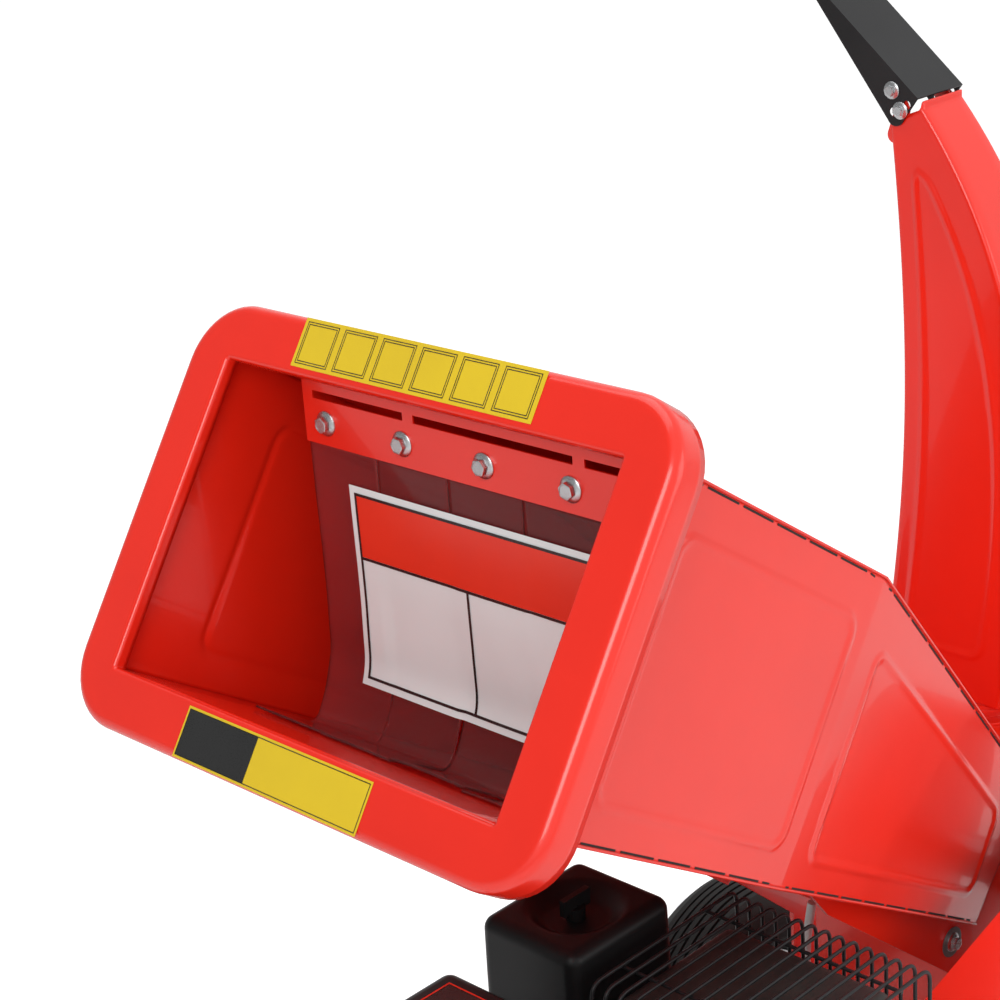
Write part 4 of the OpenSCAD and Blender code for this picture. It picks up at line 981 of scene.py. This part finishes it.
def on_tank(lift):
    """Points just above the tank's crowned top."""
    def where(a, b):
        ua, ub = 2 * a / (t_hi - t_lo)[0], 2 * b / (t_hi - t_lo)[1]
        z = t_hi[2] - CROWN + CROWN * (1 - ua ** 2) * (1 - ub ** 2) + lift
        return np.stack([t_mid[0] + a, t_mid[1] + b, z], -1)
    return where


TAG, TAG_LINE = (0.022, 0.076, 0.036, 0.126), 0.0018
film("tank_tag", [TAG], on_tank(0.0004), "ink", "frame", (8, 8))
film("tank_tag_lines", frame_lines(*TAG, TAG_LINE), on_tank(0.0007), "header", "frame", (8, 4))
print("filter faces:", len(cover.data.polygons))

# %% [markdown]
# The guard over the muffler is bent from round wire: hoops welded to six cross wires, with short
# arms that reach the muffler. Each hoop is a tube along a path whose corners are rounded.

# %% muffler and its wire guard
g_lo, g_hi = corners("muffler_guard")
WIRE, HOOPS, ARM_Z, MUFFLER_HIGH = 0.0018, 15, 0.632, 0.090
gx0, gx1, gz0, gz1 = g_lo[0] + WIRE, g_hi[0] - WIRE, g_lo[2] + WIRE, g_hi[2] - WIRE
wires = []
for y in np.linspace(g_lo[1] + WIRE, g_hi[1] - WIRE, HOOPS):
    hoop = filleted([(gx0, y, gz0), (gx0, y, gz1), (gx1, y, gz1), (gx1, y, gz0)], 0.014)
    wires.append(tube(hoop, WIRE, (0, 1, 0), 10))
for x, z in ((gx0, gz0 + 0.004), (gx1, gz0 + 0.004), (gx0 + 0.003, ARM_Z), (gx1 - 0.003, ARM_Z),
             (gx0 + 0.042, gz1 - 0.003), (gx1 - 0.042, gz1 - 0.003)):
    y = np.linspace(g_lo[1] + 0.001, g_hi[1] - 0.001, 12)
    wires.append(tube(np.stack([0 * y + x, y, 0 * y + z], -1), WIRE, (1, 0, 0), 10))
m_lo, m_hi = corners("muffler")
m_box = (np.array([m_lo[0], m_lo[1], m_hi[2] - MUFFLER_HIGH]),
         np.array([m_hi[0] - 0.022, m_hi[1], m_hi[2]]))
for y in (-0.270, -0.200, -0.130):
    for a, b in ((gx0, m_box[0][0]), (m_box[1][0], gx1)):
        wires.append(tube([(a, y, ARM_Z), ((a + b) / 2, y, ARM_Z), (b, y, ARM_Z)], WIRE,
                          (0, 1, 0), 10))
piece("wire_guard", wires, "black", "frame", "muffler_guard", 0, 50)
m_mid = (m_box[0] + m_box[1]) / 2
seam = rounded_rect(*(m_box[1] - m_box[0])[:2] + 0.007, 0.018, 8, 4)
port = np.array([m_lo[0] + 0.0432, -0.185, m_lo[2] + 0.017])
pipe = filleted([port, port - (0, 0.042, 0), (port[0], port[1] - 0.050, m_box[0][2] + 0.006)], 0.02)
tail = np.array([m_box[1][0] - 0.02, m_mid[1], m_box[0][2] + 0.030])
piece("muffler_box", soft_block(*m_box, 0.014, 6, 8)
      + [plate(seam, -0.0015, 0.0015, 0.0008, m_mid, *LEVEL),
         tube(pipe, 0.0150, (1, 0, 0), 28),
         turned([(0.0, 0), (0.011, 0), (0.011, 0.042), (0.0092, 0.042), (0.0092, 0.02), (0, 0.02)],
                tail, (1, 0, 0), 32)], "muffler", "frame", "muffler", 0, 50)

# %% [markdown]
# Tyres are profiles turned about the axle. The grooves run round the tread; the walls carry fine
# rings and stay bare.

# %% wheels
def tyre_profile(r=0.165, half=0.055, bead_r=0.0768):
    """(radius, sideways) from one bead over the tread to the other."""
    side = [(bead_r, 0.0357), (bead_r + 0.0102, 0.0357), (bead_r + 0.0112, 0.046),
            (bead_r + 0.018, 0.0500), (bead_r + 0.027, 0.0537), (bead_r + 0.0285, 0.0549),
            (bead_r + 0.030, 0.0540), (bead_r + 0.046, half), (bead_r + 0.0475, half),
            (bead_r + 0.060, 0.0536), (bead_r + 0.072, 0.0475), (bead_r + 0.080, 0.0400),
            (bead_r + 0.0855, 0.0310)]
    tread = []
    for c in (0.0234, 0.0140, 0.0047):
        for h, d in ((c + 0.0016, 0), (c + 0.0012, 0.0045), (c - 0.0012, 0.0045), (c - 0.0016, 0)):
            tread.append((r - 0.12 * (h ** 2) / 0.03 - d, h))
    up = side + tread
    return up + [(a, -b) for a, b in up[::-1]]


for name in ("left", "right"):
    lo, hi = corners("tyre_" + name)
    c = (lo + hi) / 2
    piece("tyre_" + name + "_ring", [turned(tyre_profile(), c, (0, 1, 0), 144, None, True)],
          "tyre", body_of(nodes["tyre_" + name])[0], "tyre_" + name, 0, 28)

# %% [markdown]
# The remaining nodes are flat plate, bar, castings and turned steel, which the working model
# already shapes. Each gets its real edge: sheared plate a small one, castings a larger one. The
# colour slot of such a node goes with its finish.

# %% edges and finishes of the rest
REST = {
    "hopper_gussets": ("red", 0.0005), "housing_left_plate": ("red", 0.0006),
    "housing_right_plate": ("red", 0.0006), "housing_shell": ("red", 0.0004),
    "stand_wall": ("red", 0.0005), "anvil": ("steel", 0.0004), "drum_shaft": ("steel", 0.0008),
    "drum": ("alloy", 0.0012), "drum_blades": ("steel", 0.0003),
    "drum_bearings": ("cast", 0.0020), "drum_pulley": ("cast", 0.0007),
    "engine_pulley": ("cast", 0.0006), "drive_belts": ("rubber", 0.0006),
    "belt_guard": ("red", 0.0008), "guard_posts": ("black", 0.0006),
    "small_bolts": ("zinc", 0.0004), "chute_collar": ("red", 0.0006),
    "chute_base": ("red", 0.0006), "chassis_frame": ("black", 0.0022),
    "engine_plate": ("black", 0.0008), "axle": ("zinc", 0.0010), "wheel_left": ("silver", 0.0010),
    "wheel_right": ("silver", 0.0010), "support_leg": ("black", 0.0022),
    "tow_bar": ("black", 0.0008), "engine_block": ("cast", 0.0030),
    "cylinder_fins": ("alloy", 0.0006), "valve_cover": ("black", 0.0030),
    "crankshaft": ("steel", 0.0008), "blower_housing": ("black", 0.0045),
    "recoil_cover": ("black", 0.0022), "recoil_handle": ("plastic", 0.0016),
    "air_filter_base": ("plastic", 0.0012), "carburettor": ("alloy", 0.0020),
    "throttle_lever": ("zinc", 0.0006), "engine_switch": ("switch", 0.0012),
}
for node, (material, edge) in REST.items():
    softened(node, material, body_of(nodes[node])[0], edge, 2)


# %% [markdown]
# The pale hose runs down beside the stand wall. Both ends are held, so it only bows a little.

# %% hose
v_lo, v_hi = corners("vent_hose")
HOSE_R, HOSE_BOW = (v_hi[0] - v_lo[0]) / 2, 0.010
down = np.linspace(0, 1, 30)
way = np.stack([0 * down + v_lo[0] + HOSE_R,
                v_lo[1] + HOSE_R + HOSE_BOW * np.sin(np.pi * down),
                v_hi[2] + (v_lo[2] - v_hi[2]) * down], -1)
hose = piece("pale_hose", [tube(way, HOSE_R, (1, 0, 0), 20)], "hose", "frame", "vent_hose",
             0, 60)


# %% gusset bolts and their washers
b_lo = corners("gusset_bolts")[0]
b_x, b_z = b_lo[0] + BIG / 2, b_lo[2] + BIG / 2
GUSSET_OUT, WASHER_HIGH = 0.150, 0.0014
rings, heads = [], []
for s in (-1, 1):
    at = (b_x, s * GUSSET_OUT, b_z)
    rings.append(turned([(0, 0), (0.0155, 0), (0.0160, 0.0006), (0.0158, 0.0014), (0.0122, 0.0016),
                         (0, 0.0016)], at, (0, s, 0), 40))
    heads.append(flange_bolt((b_x, s * (GUSSET_OUT + WASHER_HIGH), b_z), (0, s, 0), BIG * 0.93,
                             0.4))
piece("gusset_heads", heads, "zinc", "frame", "gusset_bolts", 0, 35)
piece("gusset_washers", rings, "grey", "frame", angle=35)

# %% grips
GRIP_LONG, GRIP_R, GRIP_BORE, RIBS = 0.104, 0.0151, 0.0112, 26


def grip(at, length, r):
    """Moulded grip: ribs round it and a collar at each end."""
    z = np.linspace(0, length, 105)
    rib = 0.0009 * (np.sin(z / length * RIBS * 2 * np.pi) > 0)
    rad = r - 0.0014 + rib + 0.0012 * ((z < 0.006) | (z > length - 0.006))
    prof = [(GRIP_BORE, 0)] + list(zip(rad, z)) + [(GRIP_BORE, length)]
    return turned(prof, at, (0, 1, 0), 40)


h_lo, h_hi = corners("tow_grip")
centre = (h_lo + h_hi) / 2
piece("tow_grips", [grip((centre[0], y, centre[2]), GRIP_LONG, GRIP_R)
                    for y in (0.028, -0.132)],
      "rubber", "tow_bar", "tow_grip", 0, 35)

# %% [markdown]
# The floor is part of the studio, not of the machine.

# %% floor and finish
GLOW, FAR = 0.45, 40
floor_mat = finish("studio_floor", "orange_peel", (0.90, 0.90, 0.90), (0.90, 0.90, 0.90), 0.7,
                   0.0, 0.0, Emission_Color=(1, 1, 1, 1))
# the floor looks pure white, yet throws back only what falls on it
tree = floor_mat.node_tree
seen = tree.nodes.new("ShaderNodeLightPath")
glow = tree.nodes.new("ShaderNodeMath")
glow.operation = "MULTIPLY"
glow.inputs[1].default_value = GLOW
wire(tree, seen, "Is Camera Ray", glow, 0)
wire(tree, glow, 0, tree.nodes["Principled BSDF"], "Emission Strength")
ground = bpy.data.objects.new("ground", bpy.data.meshes.new("ground"))
ground.data.from_pydata([(-FAR, -FAR, 0), (FAR, -FAR, 0), (FAR, FAR, 0), (-FAR, FAR, 0)], [],
                        [(0, 1, 2, 3)])
ground.data.materials.append(floor_mat)
scene.collection.objects.link(ground)
